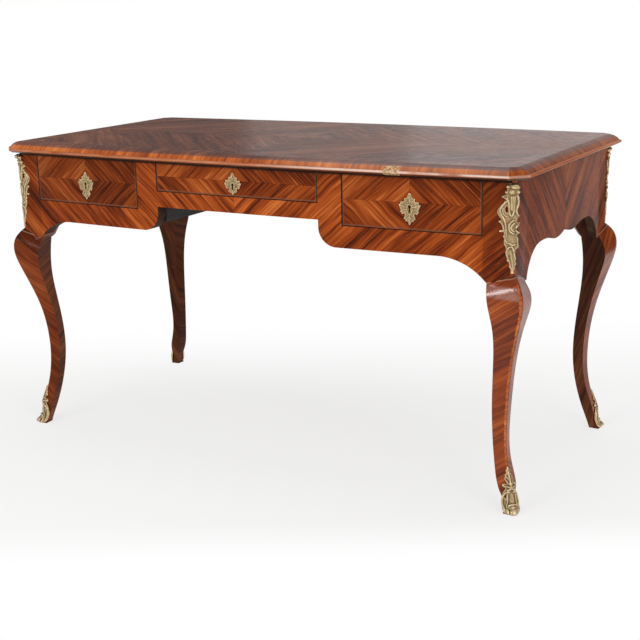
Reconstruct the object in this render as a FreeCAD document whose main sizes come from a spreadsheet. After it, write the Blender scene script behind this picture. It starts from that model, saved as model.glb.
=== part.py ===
import FreeCAD, Part
import math
import operator
import os
import Sketcher

# A bureau plat: a flat-topped writing table on four cabriole legs, with a bowed
# front and back, three frieze drawers with locks, and gilt bronze mounts.
# Millimetres. X runs along the table, the front faces -Y, Z is up, and the
# origin lies on the floor under the middle of the top.

doc = FreeCAD.newDocument("bureau_plat")
sheet = doc.addObject("Spreadsheet::Sheet", "dims")

driving_sizes = {
    # The top
    "table_height": 780,
    "top_length": 1444,
    "top_depth": 724,
    "top_thickness": 25,
    "bow": 22,
    "corner_cut": 34,
    "veneer": 1.5,
    "band_width": 36,
    "moulding_width": 32,
    "moulding_undercut": 8,
    "bead_lift": 3,
    "bead_radius": 4,
    "bead_quirk": 1,
    "ovolo_land": 3,
    "ovolo_radius": 36,
    "mitre_spare": 1,
    "overhang": 32,
    # The frieze and its front frame; a drop is measured down from under the top
    "frame_thickness": 36,
    "panel_thickness": 22,
    "stile_width": 70,
    "stile_depth": 78,
    "stile_chamfer": 8,
    "kneehole_half": 226,
    "kneehole_drop": 114,
    "kneehole_corner": 45,
    "divider_width": 60,
    "apron_drop": 175,
    "apron_arch_run": 110,
    "apron_arch_drop": 217,
    "apron_arch_radius": 150,
    "side_arch_drop": 230,
    "side_crown_drop": 162,
    "side_arch_run": 72,
    "side_arch_radius": 89,
    "side_lobe_drop": 171,
    "side_lobe_reach": 75,
    "side_lobe_radius": 260,
    "side_peak_drop": 161,
    "side_peak_radius": 150,
    "tongue_length": 18,
    "tongue_thickness": 10,
    "tongue_margin": 14,
    # Drawer openings and drawers
    "side_drawer_drop": 124,
    "centre_drawer_drop": 76,
    "drawer_gap": 1,
    "running_gap": 0.3,
    "front_thickness": 22,
    "dovetail_lap": 8,
    "tail_pitch": 38,
    "drawer_side": 10,
    "drawer_side_drop": 10,
    "drawer_back": 10,
    "drawer_back_drop": 8,
    "drawer_back_space": 38,
    "drawer_bottom": 7,
    "bottom_rise": 6,
    "groove_depth": 5,
    # Carcase pieces that carry the drawers
    "cheek_thickness": 18,
    "cheek_drop": 158,
    "runner_height": 20,
    "runner_lap": 12,
    "guide_height": 18,
    "kicker_width": 22,
    "stop_length": 18,
    "stop_height": 9,
    # Locks
    "lock_width": 68,
    "lock_thickness": 13,
    "lock_let_in": 10,
    "lock_below_key": 2,
    "bolt_width": 26,
    "bolt_thickness": 7,
    "bolt_length": 32,
    "bolt_setback": 1,
    "bolt_throw": 9,
    "bolt_play": 0.3,
    "mortise_spare": 2,
    "key_below_middle": 8.5,
    "key_hole_radius": 2.7,
    "key_slot_width": 3.2,
    "key_slot_drop": 12.5,
    # Mounts of gilt bronze
    "escutcheon_half": 25.5,
    "escutcheon_rise": 30,
    "escutcheon_fall": 40,
    "escutcheon_shoulder": 16,
    "escutcheon_shoulder_rise": 16,
    "centre_escutcheon_half": 23.5,
    "centre_escutcheon_rise": 29,
    "centre_escutcheon_fall": 23,
    "centre_escutcheon_shoulder": 14,
    "centre_escutcheon_shoulder_rise": 12,
    "leaf_hollow": 30,
    "escutcheon_thickness": 4,
    "nail_radius": 0.9,
    "nail_head": 1.8,
    "nail_head_height": 0.8,
    "nail_length": 12,
    "nail_margin": 10,
    "chute_top_gap": 3,
    "chute_tip_drop": 203,
    "chute_spread": 36,
    "chute_edge": 5,
    "chute_swell": 14,
    "chute_knop": 10,
    "chute_knop_out": 8,
    "sabot_wall": 4,
    "sabot_half_width": 22,
    "sabot_tip": 114,
    "sabot_shoulder": 46,
    "sabot_toe": 12,
    "sabot_toe_out": 5,
    # Blocks and screws under the top
    "block_length": 60,
    "block_width": 20,
    "block_height": 20,
    "block_spacing": 150,
    "screw_radius": 2,
    "screw_length": 34,
    "screw_head": 4,
    "screw_head_height": 2.5,
}

# Stations down the leg. Each has its level, how far its outer corner stands
# beyond the frieze corner along X and along Y, its width, how far the far end of
# each outer face is drawn in, the cut of the inner corner, and its round arris.
# The level is a drop below the top, or at the foot a height above the floor.
leg_stations = {
    "crest": (202, -1, -1, 68, 14, 10, 6),
    "shoulder": (215, 12, 11, 76, 17, 12, 7),
    "ridge": (227, 20, 19, 82, 19, 12, 8),
    "knee": (252, 27, 23, 85, 12, 12, 9),
    "calf": (315, 17, 10, 66, 7, 7, 9),
    "shin": (415, -9, -20, 45, 5.5, 6, 8),
    "ankle": (535, -23, -33, 36.5, 4, 4, 7),
    "heel": (105, -14, -22, 32, 2, 2, 6),
    "instep": (50, 0, -14, 31, 2, 2, 6),
    "foot": (0, 13, -3, 30, 2, 2, 6),
}
floor_stations = ("heel", "instep", "foot")
station_words = ("level", "out_x", "out_y", "width", "tuck", "inner_cut", "arris")
for station, numbers in leg_stations.items():
    for word, number in zip(station_words, numbers):
        driving_sizes[f"{station}_{word}"] = number


# A size is a number together with the expression that gives it from the sheet.
class Size:
    def __init__(self, value, text):
        self.value = float(value)
        self.text = text

    def __add__(self, other):
        return joined(self, "+", other)

    def __radd__(self, other):
        return joined(other, "+", self)

    def __sub__(self, other):
        return joined(self, "-", other)

    def __rsub__(self, other):
        return joined(other, "-", self)

    def __mul__(self, other):
        return joined(self, "*", other)

    def __rmul__(self, other):
        return joined(other, "*", self)

    def __truediv__(self, other):
        return joined(self, "/", other)

    def __rtruediv__(self, other):
        return joined(other, "/", self)

    def __neg__(self):
        return joined(-1, "*", self)


arithmetic = {"+": operator.add, "-": operator.sub, "*": operator.mul, "/": operator.truediv}


def as_size(item):
    return item if isinstance(item, Size) else Size(item, repr(float(item)))


def joined(left, sign, right):
    left, right = as_size(left), as_size(right)
    value = arithmetic[sign](left.value, right.value)
    return Size(value, f"({left.text} {sign} {right.text})")


def root(item):
    return Size(math.sqrt(item.value), f"sqrt({item.text})")


size = {}
for row, (word, number) in enumerate(driving_sizes.items(), start=1):
    sheet.set(f"A{row}", word)
    sheet.set(f"B{row}", str(number))
    sheet.setAlias(f"B{row}", word)
    size[word] = Size(number, f"dims.{word}")
doc.recompute()

nodes = {}


def node(label, item):
    item.Label = label
    nodes[label] = item
    return item


def bind(item, **properties):
    for name, worth in properties.items():
        item.setExpression(name.replace("__", "."), as_size(worth).text)
    return item


def arc_edge(start, end, radius, outward):
    # An arc between two points, bulging right of the way of travel if outward.
    chord = end - start
    left = FreeCAD.Vector(-chord.y, chord.x, 0) / chord.Length
    rise = math.sqrt(radius ** 2 - (chord.Length / 2) ** 2)
    centre = (start + end) / 2 + left * (rise if outward else -rise)
    first, last = (start, end) if outward else (end, start)
    from_angle = math.atan2(first.y - centre.y, first.x - centre.x)
    to_angle = math.atan2(last.y - centre.y, last.x - centre.x)
    circle = Part.Circle(centre, FreeCAD.Vector(0, 0, 1), radius)
    return Part.ArcOfCircle(circle, from_angle, to_angle)


def draw(sketch, points):
    # Points run anticlockwise. A point may carry ("out", radius) or ("in", radius)
    # for an arc from it to the next point; otherwise that edge is straight.
    spots = [FreeCAD.Vector(as_size(p[0]).value, as_size(p[1]).value, 0) for p in points]
    ends = []
    rules = []
    bound = []
    for index, point in enumerate(points):
        start, end = spots[index], spots[(index + 1) % len(spots)]
        if len(point) == 2:
            sketch.addGeometry(Part.LineSegment(start, end))
            ends.append((1, 2))
            continue
        side, radius = point[2]
        sketch.addGeometry(arc_edge(start, end, as_size(radius).value, side == "out"))
        ends.append((1, 2) if side == "out" else (2, 1))
        rules.append(Sketcher.Constraint("Radius", index, as_size(radius).value))
        bound.append(radius)
    for index, point in enumerate(points):
        for way, place in (("DistanceX", point[0]), ("DistanceY", point[1])):
            spot = as_size(place).value
            rules.append(Sketcher.Constraint(way, -1, 1, index, ends[index][0], spot))
            bound.append(place)
    for index in range(len(points)):
        after = (index + 1) % len(points)
        rules.append(Sketcher.Constraint("Coincident", index, ends[index][1], after, ends[after][0]))
    sketch.addConstraint(rules)
    for index, worth in enumerate(bound):
        sketch.setExpression(f"Constraints[{index}]", as_size(worth).text)


def prism(name, plane, points, low, high):
    # A padded outline: XY outlines run in Z, XZ outlines in Y, YZ outlines in X.
    body = doc.addObject("PartDesign::Body", name)
    origin_plane = next(p for p in body.Origin.OriginFeatures if p.Role == f"{plane}_Plane")
    sketch = body.newObject("Sketcher::SketchObject", f"{name}_outline")
    sketch.AttachmentSupport = (origin_plane, [""])
    sketch.MapMode = "FlatFace"
    start = -as_size(high) if plane == "XZ" else as_size(low)
    sketch.setExpression("AttachmentOffset.Base.z", start.text)
    draw(sketch, points)
    pad = body.newObject("PartDesign::Pad", f"{name}_pad")
    pad.Profile = sketch
    pad.setExpression("Length", (as_size(high) - low).text)
    return body


def box(name, x_span, y_span, z_span):
    item = doc.addObject("Part::Box", name)
    for side, axis, span in zip(("Length", "Width", "Height"), "xyz", (x_span, y_span, z_span)):
        low, high = as_size(span[0]), as_size(span[1])
        item.setExpression(side, (high - low).text)
        item.setExpression(f"Placement.Base.{axis}", low.text)
    return item


def cylinder(name, radius, length, spot, axis=FreeCAD.Vector(0, 0, 1)):
    item = doc.addObject("Part::Cylinder", name)
    item.Placement.Rotation = FreeCAD.Rotation(FreeCAD.Vector(0, 0, 1), axis)
    x, y, z = spot
    return bind(item, Radius=radius, Height=length,
                Placement__Base__x=x, Placement__Base__y=y, Placement__Base__z=z)


def ball(name, radius, spot):
    item = doc.addObject("Part::Sphere", name)
    x, y, z = spot
    return bind(item, Radius=radius,
                Placement__Base__x=x, Placement__Base__y=y, Placement__Base__z=z)


def cut(name, base, *tools):
    for index, tool in enumerate(tools):
        item = doc.addObject("Part::Cut", f"{name}_{index}")
        item.Base, item.Tool = base, tool
        base = item
    return base


def common(name, *items):
    item = doc.addObject("Part::MultiCommon", name)
    item.Shapes = list(items)
    return item


def fuse(name, *items):
    item = doc.addObject("Part::MultiFuse", name)
    item.Shapes = list(items)
    return item


def group(name, items):
    item = doc.addObject("Part::Compound", name)
    item.Links = list(items)
    return item


def mirror(name, source, axis):
    item = doc.addObject("Part::Mirroring", name)
    item.Source = source
    item.Normal = FreeCAD.Vector(1, 0, 0) if axis == "x" else FreeCAD.Vector(0, 1, 0)
    return item


def extrusion(name, points, placement, length, spot):
    # A free-standing outline pushed along its own normal, for the diagonal mounts.
    sketch = doc.addObject("Sketcher::SketchObject", f"{name}_outline")
    sketch.Placement = placement
    for axis, place in zip("xyz", spot):
        sketch.setExpression(f"Placement.Base.{axis}", as_size(place).text)
    draw(sketch, points)
    item = doc.addObject("Part::Extrusion", name)
    item.Base = sketch
    item.DirMode = "Normal"
    item.Solid = True
    return bind(item, LengthFwd=length)


# Shared places, worked out from the driving sizes
half_length = size["top_length"] / 2
half_depth = size["top_depth"] / 2
under_top = size["table_height"] - size["top_thickness"]
face_x = half_length - size["overhang"]
face_y = half_depth - size["overhang"]
face_radius = (face_x * face_x + size["bow"] * size["bow"]) / (2 * size["bow"])
bow_centre = face_radius - face_y - size["bow"]
top_radius = face_radius + size["overhang"]
stile_x = face_x - size["stile_width"]
stile_y = face_y - size["stile_depth"]
opening_x = size["kneehole_half"] + size["divider_width"]
drawer_end = face_y - size["panel_thickness"] - size["drawer_back_space"]


def below_top(word):
    return under_top - size[f"{word}_drop"]


def front_face(x, depth=0):
    # How far in front of the middle the bowed face stands at x, at a depth behind it.
    radius = face_radius - depth
    return root(radius * radius - x * x) - bow_centre


# The bowed face of the frieze as discs: what lies within a disc is behind the face.
def bow_disc(name, depth, side):
    centre = bow_centre if side == "front" else -bow_centre
    return cylinder(name, face_radius - depth, size["table_height"], (0, centre, 0))


face_disc = bow_disc("face_disc", 0, "front")
frame_disc = bow_disc("frame_disc", size["frame_thickness"], "front")
drawer_disc = bow_disc("drawer_disc", size["front_thickness"], "front")
back_disc = bow_disc("back_disc", 0, "back")
back_panel_disc = bow_disc("back_panel_disc", size["panel_thickness"], "back")
mount_disc = bow_disc("mount_disc", -size["escutcheon_thickness"], "front")


# The top: core board, veneers and the moulded edge
def bowed_edge(x, inset):
    # The front edge of the top at x, moved in from the nose.
    radius = top_radius - inset
    return bow_centre - root(radius * radius - x * x)


def top_corner(inset):
    # The two ends of the corner cut at the front right, moved in from the nose.
    first_x = half_length - size["corner_cut"]
    first_y = bowed_edge(first_x, 0)
    second_x = half_length
    second_y = size["corner_cut"] - half_depth
    run_x, run_y = second_x - first_x, second_y - first_y
    run = root(run_x * run_x + run_y * run_y)
    cut_x, cut_y = run_x / run, run_y / run
    edge_y = first_x / top_radius
    edge_x = root(1 - edge_y * edge_y)
    turn = edge_x * cut_y - edge_y * cut_x
    inset_x = first_x + inset * (cut_x - edge_x) / turn
    first = (inset_x, bowed_edge(inset_x, inset))
    second = (second_x - inset, second_y + inset * (1 - cut_y) / cut_x)
    return first, second


def top_outline(inset):
    (ax, ay), (bx, by) = top_corner(inset)
    bowed = ("out", top_radius - inset)
    return [(-ax, ay, bowed), (ax, ay), (bx, by), (bx, -by),
            (ax, -ay, bowed), (-ax, -ay), (-bx, -by), (-bx, by)]


def field_outline():
    inset = size["moulding_width"] + size["band_width"]
    x = half_length - inset
    y = bowed_edge(x, inset)
    bowed = ("out", top_radius - inset)
    return [(-x, y, bowed), (x, y), (x, -y, bowed), (-x, -y)]


veneer_floor = size["table_height"] - size["veneer"]
core_outline = top_outline(size["moulding_width"])
core_board = prism("core_board", "XY", core_outline, under_top, veneer_floor)
top_field = prism("top_field", "XY", field_outline(), veneer_floor, size["table_height"])
top_border = prism("top_border", "XY", core_outline, veneer_floor, size["table_height"])
node("top_field_veneer", top_field)
node("top_banding", cut("top_banding_ring", top_border, top_field))

# Moulding section: distance out from the core board's edge, and height.
nose, bead = size["moulding_width"], size["bead_radius"]
bead_low = under_top + size["bead_lift"]
bead_round = ("out", bead)
moulding_section = [
    (0, under_top),
    (nose - size["moulding_undercut"], under_top),
    (nose - bead, bead_low, bead_round),
    (nose, bead_low + bead, bead_round),
    (nose - bead, bead_low + bead * 2),
    (nose - bead - size["bead_quirk"], bead_low + bead * 2, ("out", size["ovolo_radius"])),
    (size["ovolo_land"], size["table_height"]),
    (0, size["table_height"]),
]


def moulding_sketch(name, turn):
    sketch = doc.addObject("Sketcher::SketchObject", name)
    upright = FreeCAD.Rotation(FreeCAD.Vector(1, 0, 0), 90)
    sketch.Placement.Rotation = FreeCAD.Rotation(FreeCAD.Vector(0, 0, 1), turn) * upright
    draw(sketch, moulding_section)
    return sketch


def mitre_prism(name, corners):
    spare = size["mitre_spare"]
    return prism(name, "XY", corners, under_top - spare, size["table_height"] + spare)


# Points along the mitre at each end of the corner cut, past the bowed edge and at the core.
(first_out, second_out) = top_corner(-(size["bow"] + size["mitre_spare"]))
(first_in, second_in) = top_corner(size["moulding_width"] + size["mitre_spare"])

# The bowed run goes through sections at these shares of the half length
bow_shares = (-1, -0.5, 0, 0.5, 1)
bow_sections = []
for index, share in enumerate(bow_shares):
    section_x = half_length * share
    section_y = bowed_edge(section_x, size["moulding_width"])
    section = moulding_sketch(f"front_moulding_section_{index}", -90)
    bow_sections.append(bind(section, Placement__Base__x=section_x, Placement__Base__y=section_y))
front_run = doc.addObject("Part::Loft", "front_moulding_run")
front_run.Sections = bow_sections
front_run.Solid = True
front_mitres = mitre_prism("front_mitres", [
    (-first_out[0], first_out[1]), first_out, first_in, (-first_in[0], first_in[1])])
moulding_front = node("moulding_front", common("front_moulding", front_run, front_mitres))
node("moulding_back", mirror("back_moulding", moulding_front, "y"))

side_sketch = moulding_sketch("side_moulding_section", 0)
bind(side_sketch, Placement__Base__x=half_length - size["moulding_width"], Placement__Base__y=half_depth)
side_run = doc.addObject("Part::Extrusion", "side_moulding_run")
side_run.Base = side_sketch
side_run.DirMode = "Normal"
side_run.Solid = True
bind(side_run, LengthFwd=2 * half_depth)
side_mitres = mitre_prism("side_mitres", [
    second_in, second_out, (second_out[0], -second_out[1]), (second_in[0], -second_in[1])])
moulding_right = node("moulding_right", common("right_moulding", side_run, side_mitres))
node("moulding_left", mirror("left_moulding", moulding_right, "x"))

(corner_first, corner_second) = top_corner(size["moulding_width"])
corner_turn = math.degrees(math.atan2(
    (corner_second[1] - corner_first[1]).value, (corner_second[0] - corner_first[0]).value))
corner_sketch = moulding_sketch("corner_moulding_section", corner_turn - 90)
corner_run_x = corner_second[0] - corner_first[0]
corner_run_y = corner_second[1] - corner_first[1]
corner_length = root(corner_run_x * corner_run_x + corner_run_y * corner_run_y)
corner_over = size["moulding_width"] / corner_length
bind(corner_sketch, Placement__Base__x=corner_second[0] + corner_run_x * corner_over,
     Placement__Base__y=corner_second[1] + corner_run_y * corner_over)
corner_run = doc.addObject("Part::Extrusion", "corner_moulding_run")
corner_run.Base = corner_sketch
corner_run.DirMode = "Normal"
corner_run.Solid = True
bind(corner_run, LengthFwd=corner_length + size["moulding_width"] * 2)
corner_mitres = mitre_prism("corner_mitres", [first_in, first_out, second_out, second_in])
corner_front_right = common("corner_moulding", corner_run, corner_mitres)
corner_back_right = mirror("corner_moulding_back", corner_front_right, "y")
node("moulding_corners", group("moulding_corner_set", [
    corner_front_right, corner_back_right,
    mirror("corner_moulding_left", corner_front_right, "x"),
    mirror("corner_moulding_back_left", corner_back_right, "x")]))


# The legs: a cabriole lofted through its stations, under a square stile
def leg_section(name, station, shift):
    at = {word: size[f"{station}_{word}"] for word in station_words}
    x, y = face_x + at["out_x"] + shift, face_y + at["out_y"] + shift
    width, tuck, inner, arris = at["width"], at["tuck"], at["inner_cut"], at["arris"]
    lean = arris * tuck / width
    sketch = doc.addObject("Sketcher::SketchObject", f"{name}_{station}")
    level = at["level"] if station in floor_stations else under_top - at["level"]
    bind(sketch, Placement__Base__z=level)
    draw(sketch, [
        (x - width, tuck - y), (x - arris, lean - y, ("out", arris)),
        (x - lean, arris - y), (x - tuck, width - y),
        (x - width + inner, width - inner - y)])
    return sketch


def leg_loft(name, shift, stations):
    item = doc.addObject("Part::Loft", name)
    item.Sections = [leg_section(name, station, shift) for station in stations]
    item.Solid = True
    return item


cabriole = leg_loft("cabriole", 0, leg_stations)
chamfer = size["stile_chamfer"]
stile_plan = prism("stile_plan", "XY", [
    (stile_x, -front_face(stile_x), ("out", face_radius)),
    (face_x - chamfer, -front_face(face_x - chamfer)), (face_x, chamfer - face_y),
    (face_x, -stile_y), (stile_x, -stile_y)], below_top("side_arch"), under_top)
arch_rise = below_top("apron_arch") - below_top("side_arch")
stile_front = prism("stile_front", "XZ", [
    (stile_x, below_top("apron_arch")), (stile_x + arch_rise, below_top("side_arch")),
    (face_x, below_top("side_arch")), (face_x, under_top), (stile_x, under_top)],
    -(face_y + size["bow"]), -stile_y)
leg_block = fuse("leg_block", common("leg_stile", stile_plan, stile_front), cabriole)

# Tongues of the frieze boards, and the mortises that take them in the legs
margin = size["tongue_margin"]
tongue_top = under_top - margin
side_tongue_z = (below_top("side_crown"), tongue_top)
side_tongue_x = (face_x - (size["panel_thickness"] + size["tongue_thickness"]) / 2,
                 face_x - (size["panel_thickness"] - size["tongue_thickness"]) / 2)
side_tongue_end = stile_y + size["tongue_length"]
rail_y = front_face(stile_x) - size["panel_thickness"] / 2
rail_tongue_y = (-(rail_y + size["tongue_thickness"] / 2), -(rail_y - size["tongue_thickness"] / 2))
rail_tongue_end = stile_x + size["tongue_length"]
apron_tongue_z = (below_top("apron"), below_top("side_drawer") - margin)
back_tongue_z = (below_top("apron"), tongue_top)

side_mortise = box("side_mortise", side_tongue_x, (-side_tongue_end, -stile_y), side_tongue_z)
apron_mortise = box("apron_mortise", (stile_x, rail_tongue_end), rail_tongue_y, apron_tongue_z)
back_mortise = box("back_mortise", (stile_x, rail_tongue_end), rail_tongue_y, back_tongue_z)
front_leg = node("leg_front_right", cut("front_leg", leg_block, side_mortise, apron_mortise))
back_leg = mirror("back_leg", cut("back_leg_front", leg_block, side_mortise, back_mortise), "y")
node("leg_back_right", back_leg)
node("leg_front_left", mirror("front_leg_left", front_leg, "x"))
node("leg_back_left", mirror("back_leg_left", back_leg, "x"))

# Frieze: side panels with their shaped lower edge
crown_y, lobe = stile_y - size["side_arch_run"], size["side_lobe_reach"]
arch_foot, crown, lobe_low = below_top("side_arch"), below_top("side_crown"), below_top("side_lobe")
arch, lobe_arc = ("in", size["side_arch_radius"]), ("in", size["side_lobe_radius"])
peak_arc = ("out", size["side_peak_radius"])
side_outline = [
    (-stile_y, arch_foot, arch), (-crown_y, crown, lobe_arc), (-lobe, lobe_low, peak_arc),
    (0, below_top("side_peak"), peak_arc), (lobe, lobe_low, lobe_arc), (crown_y, crown, arch),
    (stile_y, arch_foot), (stile_y, under_top), (-stile_y, under_top)]
side_x = face_x - size["panel_thickness"]
side_board = prism("side_board", "YZ", side_outline, side_x, face_x)
side_tongue = box("side_tongue", side_tongue_x, (-side_tongue_end, side_tongue_end), side_tongue_z)
side_panel = node("side_panel_right", fuse("right_side_panel", side_board, side_tongue))
node("side_panel_left", mirror("left_side_panel", side_panel, "x"))

# Frieze: front frame of aprons, dividers and the rail over the kneehole
frame_low, frame_high = -(face_y + size["bow"]), -stile_y
knee_x, corner = size["kneehole_half"], size["kneehole_corner"]
apron_z, drawer_z = below_top("apron"), below_top("side_drawer")
arch_start = stile_x - size["apron_arch_run"]
apron_outline = [
    (knee_x, apron_z + corner, ("out", corner)), (knee_x + corner, apron_z),
    (arch_start, apron_z, ("in", size["apron_arch_radius"])),
    (stile_x, below_top("apron_arch")), (stile_x, drawer_z), (knee_x, drawer_z)]


def bowed_board(name, outline, inner_disc, outer_disc=face_disc):
    blank = prism(f"{name}_blank", "XZ", outline, frame_low - size["overhang"], frame_high)
    return cut(f"{name}_bowed", common(f"{name}_face", blank, outer_disc), inner_disc)


apron_tongue = box("apron_tongue", (stile_x, rail_tongue_end), rail_tongue_y, apron_tongue_z)
apron = fuse("right_apron", bowed_board("apron", apron_outline, frame_disc), apron_tongue)
node("apron_right", apron)
node("apron_left", mirror("left_apron", apron, "x"))
divider = bowed_board("divider", [
    (knee_x, drawer_z), (opening_x, drawer_z), (opening_x, under_top), (knee_x, under_top)], frame_disc)
node("drawer_divider_right", divider)
node("drawer_divider_left", mirror("left_divider", divider, "x"))
knee_z, centre_z = below_top("kneehole"), below_top("centre_drawer")
node("kneehole_rail", bowed_board("kneehole_rail", [
    (-knee_x, knee_z), (knee_x, knee_z), (knee_x, centre_z), (-knee_x, centre_z)], frame_disc))

# Frieze: one back panel with the outline of the front, bowed the other way
back_outline = (
    [(x, z, *rest) for x, z, *rest in apron_outline[:4]]
    + [(stile_x, under_top), (-stile_x, under_top)]
    + [(-stile_x, below_top("apron_arch"), ("in", size["apron_arch_radius"])),
       (-arch_start, apron_z), (-(knee_x + corner), apron_z, ("out", corner)),
       (-knee_x, apron_z + corner), (-knee_x, knee_z), (knee_x, knee_z)])
back_blank = prism("back_blank", "XZ", back_outline, stile_y, face_y + size["bow"] + size["overhang"])
back_board = cut("back_bowed", common("back_face", back_blank, back_disc), back_panel_disc)
back_tongue_y = (-rail_tongue_y[1], -rail_tongue_y[0])
back_tongues = [
    box("back_tongue_right", (stile_x, rail_tongue_end), back_tongue_y, back_tongue_z),
    box("back_tongue_left", (-rail_tongue_end, -stile_x), back_tongue_y, back_tongue_z)]
node("back_panel", fuse("back_panel_board", back_board, *back_tongues))


# Inside the carcase: cheeks beside the kneehole, runners, guides, kickers and stops
def inside(name, x_span, z_span):
    # A board from the back of the front frame to the back panel.
    blank = box(f"{name}_blank", x_span, (frame_low, -frame_low), z_span)
    return common(name, blank, frame_disc, back_panel_disc)


gap, run_gap = size["drawer_gap"], size["running_gap"]
cheek_x = knee_x + size["cheek_thickness"]
cheek = inside("right_cheek", (knee_x, cheek_x), (below_top("cheek"), under_top))
node("kneehole_cheek_right", cheek)
node("kneehole_cheek_left", mirror("left_cheek", cheek, "x"))

side_low, side_high = opening_x + gap, stile_x - gap
side_floor, centre_floor = drawer_z + gap, centre_z + gap
runner, guide, lap = size["runner_height"], size["guide_height"], size["runner_lap"]
runner_z = (side_floor - run_gap - runner, side_floor - run_gap)
guide_z = (runner_z[1], runner_z[1] + guide)
centre_runner_z = (centre_floor - run_gap - runner, centre_floor - run_gap)
centre_half = knee_x - gap
leg_to_leg = (-stile_y, stile_y)
runners = [
    inside("inner_runner", (cheek_x, side_low + lap), runner_z),
    box("outer_runner", (side_high - lap, side_x), leg_to_leg, runner_z),
    inside("centre_runner", (centre_half - lap, knee_x), centre_runner_z)]
guides = [
    inside("inner_guide", (cheek_x, side_low - run_gap), guide_z),
    box("outer_guide", (side_high + run_gap, side_x), leg_to_leg, guide_z)]
drawer_side_top = under_top - size["drawer_side_drop"]
kicker_z = (drawer_side_top + run_gap, under_top)
kickers = [
    box("inner_kicker", (side_low, side_low + size["kicker_width"]), leg_to_leg, kicker_z),
    box("outer_kicker", (side_high - size["kicker_width"], side_high), leg_to_leg, kicker_z),
    box("centre_kicker", (centre_half - size["kicker_width"], centre_half), leg_to_leg, kicker_z)]
stop_y = (drawer_end + run_gap, drawer_end + run_gap + size["stop_length"])
stops = [
    inside("inner_stop_bed", (side_low, side_low + lap), (runner_z[1], runner_z[1] + size["stop_height"])),
    inside("centre_stop_bed", (centre_half - lap, centre_half),
           (centre_runner_z[1], centre_runner_z[1] + size["stop_height"]))]
stop_span = box("stop_span", (-half_length, half_length), stop_y, (0, size["table_height"]))
stops = [common(f"{stop.Name}_cut", stop, stop_span) for stop in stops]


def both_sides(name, items):
    return group(name, items + [mirror(f"{item.Name}_left", item, "x") for item in items])


node("drawer_runners", both_sides("runner_set", runners))
node("drawer_guides", both_sides("guide_set", guides))
node("drawer_kickers", both_sides("kicker_set", kickers))
node("drawer_stops", both_sides("stop_set", stops))

# Glue blocks between the side panels and the top, each with a screw up into the core
block_x = (side_x - size["block_width"], side_x)
block_z = (under_top - size["block_height"], under_top)
screw_x = side_x - size["block_width"] / 2
blocks, screws = [], []
for index, middle in enumerate((-size["block_spacing"], Size(0, "0"), size["block_spacing"])):
    spot = (screw_x, middle, block_z[0])
    shank = cylinder(f"screw_shank_{index}", size["screw_radius"], size["screw_length"], spot)
    head = cylinder(f"screw_head_{index}", size["screw_head"], size["screw_head_height"], spot)
    screw = fuse(f"screw_{index}", shank, head)
    half_block = size["block_length"] / 2
    block = box(f"glue_block_{index}", block_x, (middle - half_block, middle + half_block), block_z)
    screws.append(screw)
    blocks.append(cut(f"drilled_block_{index}", block, screw))
node("glue_blocks", both_sides("glue_block_set", blocks))
node("top_screws", both_sides("screw_set", screws))

# Drawers: x limits, floor and the first word of the escutcheon's sizes for each
front_top = under_top - gap
drawers = {
    "left": (-side_high, -side_low, side_floor, ""),
    "centre": (-centre_half, centre_half, centre_floor, "centre_"),
    "right": (side_low, side_high, side_floor, ""),
}
bolt_mortises = []
# Half widths of a dovetail at its neck and its tip, as shares of the pitch
tail_neck_share = 0.25
tail_tip_share = 0.33


def key_outline(x, z):
    radius, half_slot = size["key_hole_radius"], size["key_slot_width"] / 2
    neck = z - root(radius * radius - half_slot * half_slot)
    round_edge = ("out", radius)
    foot = z - size["key_slot_drop"]
    return [(x - half_slot, foot), (x + half_slot, foot), (x + half_slot, neck, round_edge),
            (x + radius, z, round_edge), (x, z + radius, round_edge), (x - radius, z, round_edge),
            (x - half_slot, neck)]


def leaf_outline(x, z, prefix):
    half, rise = size[f"{prefix}escutcheon_half"], size[f"{prefix}escutcheon_rise"]
    fall, shoulder = size[f"{prefix}escutcheon_fall"], size[f"{prefix}escutcheon_shoulder"]
    lift = size[f"{prefix}escutcheon_shoulder_rise"]
    hollow = ("in", size["leaf_hollow"])
    return [(x, z - fall, hollow), (x + shoulder, z - lift), (x + half, z), (x + shoulder, z + lift, hollow),
            (x, z + rise, hollow), (x - shoulder, z + lift), (x - half, z), (x - shoulder, z - lift, hollow)]


def dovetailed_side(name, x_span, outer_x, floor):
    # A drawer side whose front end carries tails that lap into the drawer front.
    y_tail = size["dovetail_lap"] - front_face(outer_x)
    y_shoulder = size["front_thickness"] - front_face(outer_x)
    height = drawer_side_top - floor
    tails = round(height.value / size["tail_pitch"].value)
    pitch = height / tails
    points = [(drawer_end, floor), (drawer_end, drawer_side_top), (y_shoulder, drawer_side_top)]
    for tail in reversed(range(tails)):
        middle = floor + pitch * (tail + 0.5)
        neck, tip = pitch * tail_neck_share, pitch * tail_tip_share
        points += [(y_shoulder, middle + neck), (y_tail, middle + tip),
                   (y_tail, middle - tip), (y_shoulder, middle - neck)]
    points.append((y_shoulder, floor))
    return prism(name, "YZ", points, *x_span)


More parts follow.
